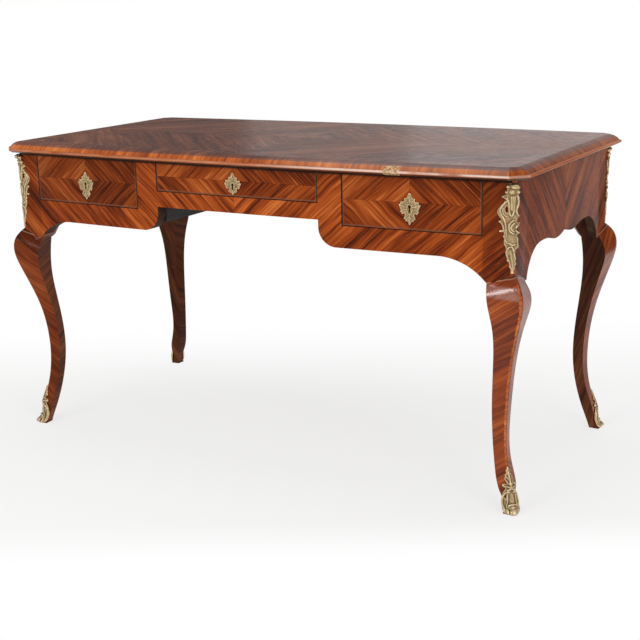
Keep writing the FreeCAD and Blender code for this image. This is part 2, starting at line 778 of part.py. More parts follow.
for word, (low, high, floor, prefix) in drawers.items():
    middle = (low + high) / 2
    key_z = (floor + front_top) / 2 - size["key_below_middle"]
    wall, groove = size["drawer_side"], size["groove_depth"]
    bottom_z = (floor + size["bottom_rise"], floor + size["bottom_rise"] + size["drawer_bottom"])
    side_boards = [
        dovetailed_side(f"{word}_side_a", (low, low + wall), low, floor),
        dovetailed_side(f"{word}_side_b", (high - wall, high), high, floor)]
    bottom_blank = box(f"{word}_bottom_blank", (low + wall - groove, high - wall + groove),
                       (frame_low, drawer_end), bottom_z)
    groove_disc = bow_disc(f"{word}_groove_disc", size["front_thickness"] - groove, "front")
    bottom = node(f"drawer_{word}_bottom", common(f"{word}_bottom_board", bottom_blank, groove_disc))
    node(f"drawer_{word}_sides", group(f"{word}_side_set", [
        cut(f"{board.Name}_grooved", board, bottom) for board in side_boards]))
    back_y = (drawer_end - size["drawer_back"], drawer_end)
    back_z = (bottom_z[1], drawer_side_top - size["drawer_back_drop"])
    node(f"drawer_{word}_back", box(f"{word}_back_board", (low + wall, high - wall), back_y, back_z))

    # The lock, let into the back of the drawer front, and its bolt
    lock_y = -front_face(middle, size["front_thickness"]) - size["lock_let_in"]
    lock_span = (middle - size["lock_width"] / 2, middle + size["lock_width"] / 2)
    lock_z = (key_z - size["key_slot_drop"] - size["lock_below_key"], front_top)
    case_blank = box(f"{word}_case_blank", lock_span, (lock_y, lock_y + size["lock_thickness"]), lock_z)
    bolt_x = (middle - size["bolt_width"] / 2, middle + size["bolt_width"] / 2)
    bolt_low = lock_y + (size["lock_thickness"] - size["bolt_thickness"]) / 2
    bolt_y = (bolt_low, bolt_low + size["bolt_thickness"])
    bolt_top = front_top - size["bolt_setback"]
    bolt_z = (bolt_top - size["bolt_length"], bolt_top)
    play = size["bolt_play"]
    slot_x, slot_y = (bolt_x[0] - play, bolt_x[1] + play), (bolt_y[0] - play, bolt_y[1] + play)
    slot = box(f"{word}_bolt_slot", slot_x, slot_y, (bolt_z[0] - play, under_top))
    mortise_top = bolt_top + size["bolt_throw"] + size["mortise_spare"]
    bolt_mortises.append(box(f"{word}_bolt_mortise", slot_x, slot_y, (under_top, mortise_top)))
    node(f"lock_bolt_{word}", box(f"{word}_bolt", bolt_x, bolt_y, bolt_z))
    key_cut = prism(f"{word}_key_cut", "XZ", key_outline(middle, key_z),
                    frame_low - size["overhang"], bolt_y[0] - play)
    node(f"lock_case_{word}", cut(f"{word}_case", case_blank, slot, key_cut))

    # The escutcheon on the bowed face, with nails at its top and bottom
    leaf = bowed_board(f"{word}_leaf", leaf_outline(middle, key_z, prefix), face_disc, mount_disc)
    nail_spots = (key_z + size[f"{prefix}escutcheon_rise"] - size["nail_margin"],
                  key_z - size[f"{prefix}escutcheon_fall"] + size["nail_margin"])
    nails = []
    for index, nail_z in enumerate(nail_spots):
        nail_y = -(front_face(middle) + size["escutcheon_thickness"])
        shank = cylinder(f"{word}_nail_shank_{index}", size["nail_radius"], size["nail_length"],
                         (middle, nail_y, nail_z), FreeCAD.Vector(0, 1, 0))
        head = cylinder(f"{word}_nail_head_{index}", size["nail_head"], size["nail_head_height"],
                        (middle, nail_y - size["nail_head_height"] / 2, nail_z), FreeCAD.Vector(0, 1, 0))
        nails.append(fuse(f"{word}_nail_{index}", shank, head))
    node(f"escutcheon_nails_{word}", group(f"{word}_nail_set", nails))
    node(f"escutcheon_{word}", cut(f"{word}_escutcheon", leaf, key_cut, *nails))

    # The drawer front, cut for its sides, bottom, lock, key and nails
    front_board = bowed_board(f"{word}_front", [
        (low, floor), (high, floor), (high, front_top), (low, front_top)], drawer_disc)
    node(f"drawer_{word}_front", cut(f"{word}_front_board", front_board, *side_boards, bottom,
                                     case_blank, key_cut, *nails))

node("top_core", cut("top_core_board", core_board, *screws,
                     *[mirror(f"{screw.Name}_hole", screw, "x") for screw in screws], *bolt_mortises))

# Mounts of the front right corner, seen along the diagonal, and their mirrored fellows
facing = FreeCAD.Placement(FreeCAD.Vector(), FreeCAD.Rotation(
    FreeCAD.Vector(1, 1, 0), FreeCAD.Vector(0, 0, 1), FreeCAD.Vector(1, -1, 0), "XYZ"))
spread, edge, swell = size["chute_spread"], size["chute_edge"], size["chute_swell"]
chute_top = under_top - size["chute_top_gap"]
chute_tip = below_top("chute_tip")
chute_plan = prism("chute_plan", "XY", [
    (face_x - spread, spread - face_y), (face_x - spread, -front_face(face_x - spread) - edge),
    (face_x - chamfer, -face_y - swell), (face_x + swell, chamfer - face_y),
    (face_x + edge, spread - face_y)], chute_tip, chute_top)
chute_height = chute_top - chute_tip
# Corners of the leafy outline, as shares of the chute's spread and of its height:
# a broad scroll on its left wing and a narrow right wing
chute_shares = [
    (0, 0), (0.14, 0.14), (0.26, 0.34), (0.36, 0.46), (0.36, 0.84), (0.26, 1),
    (-0.28, 1), (-0.4, 0.84), (-0.68, 0.76), (-0.72, 0.66), (-0.6, 0.5), (-0.44, 0.36), (-0.26, 0.18)]
knop, knop_out = size["chute_knop"], size["chute_knop_out"]
knop_ball = ball("chute_knop_ball", knop, (face_x + knop_out, -(face_y + knop_out), chute_top - knop))


def corner_chute(name, hand):
    # The same casting fits every corner, so its wings swap faces from one corner to the next.
    outline = [(spread * across * hand, chute_tip + chute_height * up) for across, up in chute_shares]
    leaf = extrusion(f"{name}_leaf", outline[::hand], facing, (spread + swell) * 2,
                     (face_x - spread, spread - face_y, 0))
    body = fuse(f"{name}_body", common(f"{name}_shell", leaf, chute_plan), knop_ball)
    return cut(name, body, leg_block)


chute, swapped_chute = corner_chute("chute", 1), corner_chute("swapped_chute", -1)

sabot_loft = leg_loft("sabot_loft", size["sabot_wall"], ("shin", "ankle", "heel", "instep", "foot"))
foot_x, foot_y = face_x + size["foot_out_x"], face_y + size["foot_out_y"]
sabot_half, sabot_back = size["sabot_half_width"], size["foot_width"] * 2
sabot_outline = [
    (-sabot_half, 0), (sabot_half, 0), (sabot_half, size["sabot_shoulder"]),
    (size["sabot_wall"], size["sabot_tip"]), (-size["sabot_wall"], size["sabot_tip"]),
    (-sabot_half, size["sabot_shoulder"])]
sabot_leaf = extrusion("sabot_leaf", sabot_outline, facing, sabot_back * 2,
                       (foot_x - sabot_back, sabot_back - foot_y, 0))
toe, toe_out = size["sabot_toe"], size["sabot_toe_out"]
toe_ball = ball("sabot_toe_ball", toe, (foot_x + toe_out, -(foot_y + toe_out), toe))
sabot_body = fuse("sabot_body", common("sabot_shell", sabot_loft, sabot_leaf), toe_ball)
sabot = cut("sabot", sabot_body, leg_block)

for label, mount, swapped in (("chute", chute, swapped_chute), ("sabot", sabot, sabot)):
    node(f"{label}_front_right", mount)
    node(f"{label}_back_right", mirror(f"{label}_behind", swapped, "y"))
    node(f"{label}_front_left", mirror(f"{label}_front_mirrored", swapped, "x"))
    opposite = mirror(f"{label}_opposite", mount, "y")
    node(f"{label}_back_left", mirror(f"{label}_back_mirrored", opposite, "x"))

doc.recompute()

# Nothing is written unless every object and every piece is sound
failed = [item.Name for item in doc.Objects if {"Invalid", "Error"} & set(item.State)]
if failed:
    raise RuntimeError(f"failed objects: {failed}")
for label, item in nodes.items():
    shape = item.Shape
    if shape.isNull() or not shape.isValid() or not shape.Solids:
        raise RuntimeError(f"{label} is not a sound solid")

os.makedirs("parts", exist_ok=True)
for label, item in nodes.items():
    item.Shape.exportStep(f"parts/{label}.step")
print(f"{len(nodes)} pieces written")
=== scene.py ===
import contextlib
import math

import bpy
import numpy as np
from mathutils import Matrix, Vector


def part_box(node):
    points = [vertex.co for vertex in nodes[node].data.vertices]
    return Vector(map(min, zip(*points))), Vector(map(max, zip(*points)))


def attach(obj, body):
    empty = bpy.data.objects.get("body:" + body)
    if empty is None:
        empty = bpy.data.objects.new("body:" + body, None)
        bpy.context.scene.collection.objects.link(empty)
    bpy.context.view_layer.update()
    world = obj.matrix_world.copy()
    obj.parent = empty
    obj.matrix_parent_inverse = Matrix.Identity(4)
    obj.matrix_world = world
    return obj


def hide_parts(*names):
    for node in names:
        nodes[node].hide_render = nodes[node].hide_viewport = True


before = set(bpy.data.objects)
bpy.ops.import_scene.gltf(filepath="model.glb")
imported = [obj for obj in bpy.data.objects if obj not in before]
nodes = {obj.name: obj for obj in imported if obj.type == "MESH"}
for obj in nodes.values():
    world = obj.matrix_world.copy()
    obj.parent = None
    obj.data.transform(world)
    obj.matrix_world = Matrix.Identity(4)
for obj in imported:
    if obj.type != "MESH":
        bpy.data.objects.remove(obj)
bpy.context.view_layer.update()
mm = 0.001
words = ("left", "centre", "right")
print("frame loaded:", len(nodes), "nodes")


# Small helpers for node trees

def mathMethod(operation, swapped=False):
    def method(self, *others):
        terms = (*others, self) if swapped else (self, *others)
        node = place(self.tree, "ShaderNodeMath", dict(enumerate(terms)), operation=operation)
        return Wire(node.outputs[0])
    return method


class Wire:
    # An output of a shader node, worked with like a number
    def __init__(self, socket):
        self.socket = socket
        self.tree = socket.id_data

    __add__ = __radd__ = mathMethod("ADD")
    __mul__ = __rmul__ = mathMethod("MULTIPLY")
    __sub__ = mathMethod("SUBTRACT")
    __rsub__ = mathMethod("SUBTRACT", swapped=True)
    __truediv__ = mathMethod("DIVIDE")
    __rtruediv__ = mathMethod("DIVIDE", swapped=True)
    __gt__ = mathMethod("GREATER_THAN")
    __lt__ = mathMethod("LESS_THAN")
    __abs__ = mathMethod("ABSOLUTE")
    floor = mathMethod("FLOOR")
    fraction = mathMethod("FRACT")
    sign = mathMethod("SIGN")
    least = mathMethod("MINIMUM")
    most = mathMethod("MAXIMUM")


def plug(socket, value):
    if isinstance(value, Wire):
        socket.id_data.links.new(value.socket, socket)
    else:
        socket.default_value = value


def place(tree, kind, plugs=None, **settings):
    node = tree.nodes.new(kind)
    for setting, value in settings.items():
        setattr(node, setting, value)
    for socket, value in (plugs or {}).items():
        plug(node.inputs[socket], value)
    return node


def treeOf(*values):
    return next(value.tree for value in values if isinstance(value, Wire))


def ramp(value, low, high):
    # 0 at low, 1 at high, smooth between; low may be the larger of the two
    node = place(value.tree, "ShaderNodeMapRange", {"Value": value, "From Min": low, "From Max": high},
                 interpolation_type="SMOOTHSTEP")
    return Wire(node.outputs["Result"])


def blendColors(factor, first, second, mode="MIX"):
    node = place(treeOf(factor, first, second), "ShaderNodeMix", {0: factor, 6: first, 7: second},
                 data_type="RGBA", blend_type=mode)
    return Wire(node.outputs[2])


def blendValues(factor, first, second):
    node = place(treeOf(factor, first, second), "ShaderNodeMix", {0: factor, 2: first, 3: second},
                 data_type="FLOAT")
    return Wire(node.outputs[0])


def tint(color, mask, share, over):
    # Lays one colour over another where the mask is 1, at a share of its strength
    return blendColors(mask * share, color, over)


def vectorOf(x, y, z):
    return Wire(place(x.tree, "ShaderNodeCombineXYZ", {"X": x, "Y": y, "Z": z}).outputs[0])


def vectorMath(operation, first, second, output):
    node = place(first.tree, "ShaderNodeVectorMath", {0: first, 1: second}, operation=operation)
    return Wire(node.outputs[output])


def split(vector):
    return [Wire(axis) for axis in place(vector.tree, "ShaderNodeSeparateXYZ", {0: vector}).outputs]


def noise(vector, scale, detail=2.0, roughness=0.5):
    node = place(vector.tree, "ShaderNodeTexNoise",
                 {"Vector": vector, "Scale": scale, "Detail": detail, "Roughness": roughness})
    return Wire(node.outputs[0])


def colorRamp(value, stops):
    node = place(value.tree, "ShaderNodeValToRGB", {"Fac": value})
    elements = node.color_ramp.elements
    while len(elements) < len(stops):
        elements.new(0.5)
    for element, (position, color) in zip(elements, stops):
        element.position = position
        element.color = (*color, 1)
    return Wire(node.outputs["Color"])


def openGroup(name, inputs):
    tree = bpy.data.node_groups.new(name, "ShaderNodeTree")
    for label, value in inputs.items():
        kind = "NodeSocketVector" if isinstance(value, tuple) else "NodeSocketFloat"
        tree.interface.new_socket(label, in_out="INPUT", socket_type=kind).default_value = value
    given = tree.nodes.new("NodeGroupInput").outputs
    return [Wire(given[label]) for label in inputs]


def closeGroup(results):
    tree = treeOf(*results.values())
    for label in results:
        tree.interface.new_socket(label, in_out="OUTPUT", socket_type="NodeSocketFloat")
    ends = tree.nodes.new("NodeGroupOutput").inputs
    for label, value in results.items():
        plug(ends[label], value)
    return tree


def useGroup(group, plugs):
    node = place(treeOf(*plugs.values()), "ShaderNodeGroup", plugs, node_tree=group)
    return {socket.name: Wire(socket) for socket in node.outputs}


# Shader groups that several finishes share. Each noise has its scale, detail and roughness.

def makeFoldedGrain():
    # Book-matched veneer: folds the two directions at the joints and turns the grain
    givenU, givenV, foldU, foldV, sine, cosine = openGroup("foldedGrain", {
        "U": 0, "V": 0, "Fold U": 1, "Fold V": 0, "Sine": 0.67, "Cosine": 0.74})
    absU, absV = abs(givenU), abs(givenV)
    u = blendValues(foldU, givenU, absU)
    v = blendValues(foldV, givenV, absV)
    right = (givenU > 0) * foldU
    upper = (givenV > 0) * foldV
    joint = (absU + (1 - foldU)).least(absV + (1 - foldV))
    return closeGroup({"Across": u * sine + v * cosine, "Along": u * cosine - v * sine,
                       "Side": upper * 2 + right, "Joint": joint})


figureLook = dict(
    drift=(9.0, 2.0, 0.5), driftReach=0.016, leafTone=0.34, leafDepth=2.0, sideDepth=3.7, veinDepth=5.0,
    slow=0.05, slower=0.02, bands=(62.0, 2.0, 0.55), streaks=(240.0, 2.0, 0.5), lines=(820.0, 1.0, 0.5),
    veins=(150.0, 1.0, 0.5), pores=(2200.0, 1.0, 0.5), bandWeight=1.05, streakWeight=0.75, lineWeight=0.42,
    darkVein=(0.585, 0.64), darkWeight=-0.22, paleVein=(0.40, 0.355), paleWeight=0.16, seam=0.0004,
    poreHeight=0.6, lineHeight=0.4)


def makeKingwoodFigure():
    # Streaky rosewood figure: leaves of veneer side by side, each with its own tone
    look = figureLook
    flat, along, side, leafWidth, contrast = openGroup("kingwoodFigure", {
        "Across": 0, "Along": 0, "Side": 0, "Leaf Width": 0.03, "Contrast": 1})
    seed = side * look["sideDepth"]
    drift = noise(vectorOf(flat, along, seed), *look["drift"])
    across = (drift - 0.5) * look["driftReach"] + flat
    leafPlace = flat / leafWidth
    leafSpot = vectorOf(leafPlace.floor(), side, 0.5)
    leafTone = Wire(place(flat.tree, "ShaderNodeTexWhiteNoise", {"Vector": leafSpot},
                          noise_dimensions="3D").outputs["Value"])
    depth = leafTone * look["leafDepth"] + seed
    slow, slower = along * look["slow"], along * look["slower"]
    bands = noise(vectorOf(across, slow, depth), *look["bands"])
    streaks = noise(vectorOf(across, slow, depth), *look["streaks"])
    lines = noise(vectorOf(across, slower, depth), *look["lines"])
    veins = noise(vectorOf(across, slower, depth + look["veinDepth"]), *look["veins"])
    pores = noise(vectorOf(flat, slow, seed), *look["pores"])
    tone = (leafTone - 0.5) * look["leafTone"] + 0.5
    for source, weight in ((bands, "bandWeight"), (streaks, "streakWeight"), (lines, "lineWeight")):
        tone = (source - 0.5) * look[weight] + tone
    tone = ramp(veins, *look["darkVein"]) * look["darkWeight"] + tone
    tone = ramp(veins, *look["paleVein"]) * look["paleWeight"] + tone
    return closeGroup({
        "Tone": (tone - 0.5) * contrast + 0.5,
        "Height": pores * look["poreHeight"] + lines * look["lineHeight"],
        "Seam": leafPlace.fraction() < look["seam"] / leafWidth})


polishLook = dict(broad=(3.2, 3.0, 0.6), fine=(48.0, 3.0, 0.65), specks=(260.0, 2.0, 0.6),
                  fade=(0.34, 0.68), fineWeight=0.22, broadWeight=0.14, speckRange=(0.66, 0.72),
                  speckWhere=(0.5, 0.6))


def makeOldPolish():
    # Slow changes over an old polished surface: fading, rubbed patches and dull spots
    look = polishLook
    where, gloss = openGroup("oldPolish", {"Vector": (0, 0, 0), "Gloss": 0.3})
    broad, fine, specks = (noise(where, *look[size]) for size in ("broad", "fine", "specks"))
    roughness = (broad - 0.5) * look["broadWeight"] + ((fine - 0.5) * look["fineWeight"] + gloss)
    scuff = ramp(specks, *look["speckRange"]) * ramp(fine, *look["speckWhere"])
    return closeGroup({"Fade": ramp(broad, *look["fade"]), "Roughness": roughness, "Scuff": scuff})


def makeEdgeFrame():
    # 1 within a width of the border of a rectangle, 0 inside it
    u, v, halfU, halfV, width = openGroup("edgeFrame", {
        "U": 0, "V": 0, "Half U": 0.1, "Half V": 0.05, "Width": 0.003})
    return closeGroup({"Mask": (halfU - abs(u)).least(halfV - abs(v)) < width})


boardGrain = dict(rings=(55.0, 3.0, 0.6), fibres=(420.0, 2.0, 0.6), pores=(900.0, 1.0, 0.5),
                  poreRange=(0.58, 0.66), ringWeight=1.2, fibreWeight=0.5, poreWeight=-0.18)


def makePlainGrain():
    # Straight grain of a solid board along one direction
    look = boardGrain
    where, stretch = openGroup("plainGrain", {"Vector": (0, 0, 0), "Stretch": (1, 0.05, 1)})
    stretched = vectorMath("MULTIPLY", where, stretch, "Vector")
    rings, fibres, pores = (noise(stretched, *look[size]) for size in ("rings", "fibres", "pores"))
    pores = ramp(pores, *look["poreRange"])
    tone = (rings - 0.5) * look["ringWeight"] + 0.5
    tone = (fibres - 0.5) * look["fibreWeight"] + tone
    return closeGroup({"Tone": pores * look["poreWeight"] + tone, "Height": fibres - pores})


foldedGrain = makeFoldedGrain()
kingwoodFigure = makeKingwoodFigure()
oldPolish = makeOldPolish()
edgeFrame = makeEdgeFrame()
plainGrain = makePlainGrain()
print("shader groups made")

# Finishes

kingwoodStops = [
    (0.12, (0.052, 0.0088, 0.0026)), (0.34, (0.140, 0.0225, 0.0042)), (0.52, (0.255, 0.044, 0.0064)),
    (0.70, (0.37, 0.076, 0.0125)), (0.92, (0.53, 0.150, 0.034))]
topStops = [
    (0.12, (0.062, 0.0150, 0.0078)), (0.36, (0.116, 0.030, 0.0145)), (0.54, (0.166, 0.046, 0.0215)),
    (0.72, (0.225, 0.072, 0.035)), (0.94, (0.30, 0.122, 0.066))]
crossbandStops = [
    (0.10, (0.17, 0.030, 0.0056)), (0.36, (0.33, 0.068, 0.0115)), (0.55, (0.45, 0.106, 0.019)),
    (0.74, (0.55, 0.150, 0.031)), (0.95, (0.66, 0.25, 0.080))]
innerStops = [
    (0.12, (0.022, 0.0072, 0.0034)), (0.40, (0.050, 0.0145, 0.0062)), (0.62, (0.090, 0.026, 0.0098)),
    (0.90, (0.15, 0.05, 0.020))]
oakStops = [(0.15, (0.10, 0.055, 0.026)), (0.5, (0.21, 0.125, 0.062)), (0.85, (0.34, 0.22, 0.12))]
stainStops = [(0.15, (0.018, 0.0085, 0.0055)), (0.5, (0.042, 0.019, 0.011)), (0.85, (0.075, 0.036, 0.022))]


def shade(stops, share):
    return [(position, tuple(channel * share for channel in color)) for position, color in stops]


def newMaterial(name):
    material = bpy.data.materials.new(name)
    material.use_nodes = True
    return material


def placesOn(material):
    coords = place(material.node_tree, "ShaderNodeTexCoord").outputs
    return Wire(coords["Object"]), Wire(coords["Normal"])


def dress(material, color, roughness, shine=None, bump=None, extras=None):
    # Sets the sockets of the shader; the bump is its height, strength and distance
    shader = material.node_tree.nodes["Principled BSDF"]
    values = {"Base Color": color, "Roughness": roughness, **(extras or {})}
    if shine is not None:
        values["Specular IOR Level"] = shine
    if bump:
        height, strength, distance = bump
        node = place(material.node_tree, "ShaderNodeBump",
                     {"Height": height, "Strength": strength, "Distance": distance})
        values["Normal"] = Wire(node.outputs["Normal"])
    for label, value in values.items():
        plug(shader.inputs[label], value)
    return material


def facingMask(normal, axis, sign):
    facing = (0.55, 0.75)
    return ramp(split(normal)[axis] * sign, *facing)


def stainedWood(where, stops, stretch):
    grain = useGroup(plainGrain, {"Vector": where, "Stretch": stretch})
    return colorRamp(grain["Tone"], stops), grain["Height"]


# Marks of age and painted shade on the veneer: the share and the colour of each, and where it lies, in
# metres
veneerMarks = dict(
    seam=(0.55, (0.03, 0.009, 0.004, 1)), scuff=(0.35, (0.42, 0.25, 0.16, 1)), joint=0.00035,
    strip=(0.65, (0.160, 0.064, 0.036, 1)), gapShade=(0.85, (0.012, 0.006, 0.005, 1)),
    soot=(0.93, (0.010, 0.005, 0.004, 1)), sootBelow=(0.0115, 0.0055),
    groove=(1.0, (0.02, 0.008, 0.005, 1)), grooveWide=(0.0016, 0.0006),
    rubbed=(0.5, (0.42, 0.22, 0.13, 1)), rubbedBelow=0.003, rubbedWide=(0.0018, 0.0006),
    kneeRough=0.2, kneeIor=1.9, innerRough=0.62, poreDepth=0.00025)


def makeVeneer(name, look):
    # Matched veneer on the face that shows, stained wood on the other faces of the piece
    marks = veneerMarks
    material = newMaterial(name)
    where, normal = placesOn(material)
    axes = split(where)
    u = axes[look["u"]] - look["centre"][0]
    v = axes[look["v"]] - look["centre"][1]
    angle = math.radians(look["angle"])
    grain = useGroup(foldedGrain, {
        "U": u, "V": v, "Fold U": look["foldU"], "Fold V": look["foldV"],
        "Sine": math.sin(angle), "Cosine": math.cos(angle) * look["lean"]})
    joint = grain.pop("Joint")
    figure = useGroup(kingwoodFigure, {**grain, "Leaf Width": look["leaf"], "Contrast": look["contrast"]})
    polish = useGroup(oldPolish, {"Vector": where, "Gloss": look["gloss"]})
    color = colorRamp((polish["Fade"] - 0.5) * look["fade"] + figure["Tone"], look["stops"])
    color = tint(color, figure["Seam"].most(joint < marks["joint"]), *marks["seam"])
    color = tint(color, polish["Scuff"], *marks["scuff"])
    if "border" in look:   # a brown strip round a drawer front, and painted shade of the gap at its ends and thinly along it
        halfU, halfV, strip, gapShade, spare = look["border"]
        for mark, width, tall in (("strip", strip, halfV), ("gapShade", gapShade, halfV + spare)):
            edge = useGroup(edgeFrame, {"U": u, "V": v, "Half U": halfU, "Half V": tall, "Width": width})
            color = tint(color, edge["Mask"], *marks[mark])
    if "soot" in look:   # painted shade below the overhang of the top
        low, high = (look["soot"] - below for below in marks["sootBelow"])
        color = tint(color, ramp(axes[2], low, high), *marks["soot"])
    if "collar" in look:   # the line where the knee meets the stile, highest at the corner, worn pale below
        height, slope, start = look["collar"]
        above = axes[2] - ((abs(u) - start).most(0) * slope + height)
        color = tint(color, ramp(abs(above), *marks["grooveWide"]), *marks["groove"])
        rubbed = ramp(abs(above + marks["rubbedBelow"]), *marks["rubbedWide"])
        color = tint(color, rubbed, *marks["rubbed"])
    coat = {}
    if "knee" in look:   # the round of the knee has kept its polish
        height, reach = look["knee"]
        coat = {"Coat Weight": ramp(abs(axes[2] - height), reach, reach / 2),
                "Coat Roughness": marks["kneeRough"], "Coat IOR": marks["kneeIor"]}
    roughness = polish["Roughness"]
    if "facing" in look:
        mask = facingMask(normal, *look["facing"])
        inner, _ = stainedWood(where, look["inner"], look["innerStretch"])
        color = blendColors(mask, inner, color)
        roughness = blendValues(mask, marks["innerRough"], roughness)
    pores = (figure["Height"], look["pores"], marks["poreDepth"])
    return dress(material, color, roughness, look["shine"], pores, coat)


veneerLook = dict(u=0, v=2, centre=(0, 0), angle=42, lean=-1, foldU=1, foldV=0, leaf=0.034, contrast=0.85,
                  gloss=0.27, fade=0.14, shine=0.045, pores=0.12, stops=kingwoodStops, inner=stainStops,
                  innerStretch=(0.05, 1, 1))


def veneer(name, **changes):
    return makeVeneer(name, {**veneerLook, **changes})


# Places measured on the frame
_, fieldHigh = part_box("top_field_veneer")
mouldingLow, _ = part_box("moulding_front")
topMitre = fieldHigh.x - fieldHigh.y
beadTop = mouldingLow.z + 11 * mm
landFoot = fieldHigh.z - 5.6 * mm

bandLook = dict(
    leaf=0.047, contrast=0.85, gloss=0.26, fade=0.22, lean=1.3, diagonal=0.7, borderPores=0.04,
    edgePores=0.12, poreDepth=0.00025, seam=(0.5, (0.05, 0.014, 0.006, 1)), soft=0.0005,
    paintedSheen=(0.27, 0.20, 0.19, 1), sheenShare=0.12, rightSheen=0.33, rightward=(0.02, 0.30), leftHighlightShare=0.12,
    lighterRight=(0.17, (0.78, 0.44, 0.27, 1)), under=(0.05, 0.022, 0.012, 1))
beadLook = dict(
    stops=[(0.2, (0.22, 0.054, 0.015)), (0.5, (0.38, 0.100, 0.027)), (0.8, (0.50, 0.17, 0.065))],
    stretch=(0.06, 0.06, 1), soft=0.0006, crestBelow=0.003, crestWide=(0.0028, 0.0012), highlightBreakScale=11.0,
    highlightBreaks=(0.30, 0.52), paleness=(0.72, 0.56, 0.47, 1), rough=0.17, coatRough=0.14)
repairLook = dict(
    fromX=0.404, toX=0.441, side=mouldingLow.y + 0.06, ragged=160.0, raggedReach=0.012,
    mottle=(190.0, 3.0, 0.7), share=0.85, rough=0.55,
    stops=[(0.36, (0.20, 0.095, 0.040)), (0.5, (0.45, 0.27, 0.13)), (0.62, (0.70, 0.51, 0.30))])


def bandDirections(runs, axes):
    # Along and across the banding
    x, y, _ = axes
    if runs == "corner":   # the four corner lengths run on the diagonals
        return (abs(x) - abs(y)) * bandLook["diagonal"], (abs(x) + abs(y)) * bandLook["diagonal"]
    if runs == "border":   # the border turns at its mitres
        nearSide = abs(x) - topMitre > abs(y)
        return blendValues(nearSide, x, y), blendValues(nearSide, y, x)
    return axes[runs], axes[1 - runs]


def makeCrossband(name, runs, stops, shine, crestGlossAndHighlight=0.0, repaired=False):
    # Short pieces of veneer laid across an edge; the bead below has its grain along the edge
    look, bead, repair = bandLook, beadLook, repairLook
    material = newMaterial(name)
    where, normal = placesOn(material)
    axes = split(where)
    along, cross = bandDirections(runs, axes)
    figure = useGroup(kingwoodFigure, {
        "Across": along, "Along": cross + axes[2] * look["lean"], "Side": cross.sign(),
        "Leaf Width": look["leaf"], "Contrast": look["contrast"]})
    polish = useGroup(oldPolish, {"Vector": where, "Gloss": look["gloss"]})
    tone = (polish["Fade"] - 0.5) * look["fade"] + figure["Tone"]
    color = tint(colorRamp(tone, stops), figure["Seam"], *look["seam"])
    roughness = polish["Roughness"]
    coat = {}
    if runs != "border":
        field = ramp(axes[2], landFoot - look["soft"], landFoot + look["soft"])
        sheenShare = look["sheenShare"]
        if runs == 0:   # toward their right end the long edges are lighter, with more painted sheen on the land and more painted highlight on the bead crest
            rightward = ramp(axes[0], *look["rightward"])
            sheenShare = rightward * look["rightSheen"] + look["sheenShare"]
            crestGlossAndHighlight = (rightward * (1 - look["leftHighlightShare"]) + look["leftHighlightShare"]) * crestGlossAndHighlight
            color = tint(color, rightward, *look["lighterRight"])
        # the land is the top's veneer under a painted grey-pink sheen
        landColor = blendColors(sheenShare, colorRamp(tone, topStops), look["paintedSheen"])
        color = blendColors(field, color, landColor)
        onBead = ramp(axes[2], beadTop + bead["soft"], beadTop - bead["soft"])
        beadColor, _ = stainedWood(where, bead["stops"], bead["stretch"])
        # the pale crest of the bead is a painted highlight, broken up by noise
        offCrest = abs(axes[2] - (beadTop - bead["crestBelow"]))
        paleness = ramp(offCrest, *bead["crestWide"]) * ramp(noise(where, bead["highlightBreakScale"]), *bead["highlightBreaks"])
        color = blendColors(onBead, color, tint(beadColor, paleness, crestGlossAndHighlight, bead["paleness"]))
        roughness = blendValues(onBead, roughness, bead["rough"])
        coat = {"Coat Weight": onBead * crestGlossAndHighlight, "Coat Roughness": bead["coatRough"]}
        # faces that look down get a painted shade
        color = blendColors(facingMask(normal, 2, -1), color, look["under"])
    if repaired:   # a paler piece let into the front edge, ragged at its ends
        ragged = (noise(where, repair["ragged"]) - 0.5) * repair["raggedReach"] + axes[0]
        onFront = (axes[1] < repair["side"]) * (1 - field)
        inPiece = (ragged > repair["fromX"]) * (ragged < repair["toX"]) * onFront
        pale = colorRamp(noise(where, *repair["mottle"]), repair["stops"])
        color = tint(color, inPiece, repair["share"], pale)
        roughness = blendValues(inPiece, roughness, repair["rough"])
    pores = look["borderPores" if runs == "border" else "edgePores"]
    return dress(material, color, roughness, shine, (figure["Height"], pores, look["poreDepth"]), coat)


boardLook = dict(gloss=0.6, dirt=(0.35, (0.045, 0.026, 0.014, 1)), shine=0.2, bump=(0.25, 0.0004))


def makeBoard(name, stretch):
    # Solid oak of the carcase and the drawers
    material = newMaterial(name)
    where, _ = placesOn(material)
    color, height = stainedWood(where, oakStops, stretch)
    polish = useGroup(oldPolish, {"Vector": where, "Gloss": boardLook["gloss"]})
    color = tint(color, polish["Fade"], *boardLook["dirt"])
    return dress(material, color, polish["Roughness"], boardLook["shine"], (height, *boardLook["bump"]))


paintLook = dict(stops=[(0.2, (0.012, 0.012, 0.013)), (0.8, (0.034, 0.032, 0.031))], stretch=(1, 0.08, 1),
                 gloss=0.55, scuff=(0.5, (0.12, 0.09, 0.07, 1)), shine=0.25, bump=(0.2, 0.0003))


def makeDarkPaint():
    # Thin old charcoal paint with brush marks and rubbed spots
    material = newMaterial("darkPaint")
    where, _ = placesOn(material)
    color, height = stainedWood(where, paintLook["stops"], paintLook["stretch"])
    polish = useGroup(oldPolish, {"Vector": where, "Gloss": paintLook["gloss"]})
    color = tint(color, polish["Scuff"], *paintLook["scuff"])
    return dress(material, color, polish["Roughness"], paintLook["shine"], (height, *paintLook["bump"]))


giltLook = dict(
    plainRelief=0.6, cloud=(130.0, 3.0, 0.6), grit=(900.0, 2.0, 0.6), cloudWeight=0.5,
    stops=[(0.10, (0.110, 0.074, 0.027)), (0.34, (0.30, 0.206, 0.094)), (0.52, (0.52, 0.385, 0.208)),
           (0.90, (0.88, 0.72, 0.475))],
    rough=0.54, reliefRough=-0.2, gritRough=0.22, bare=(0.0, 0.3), bump=(0.18, 0.0003))


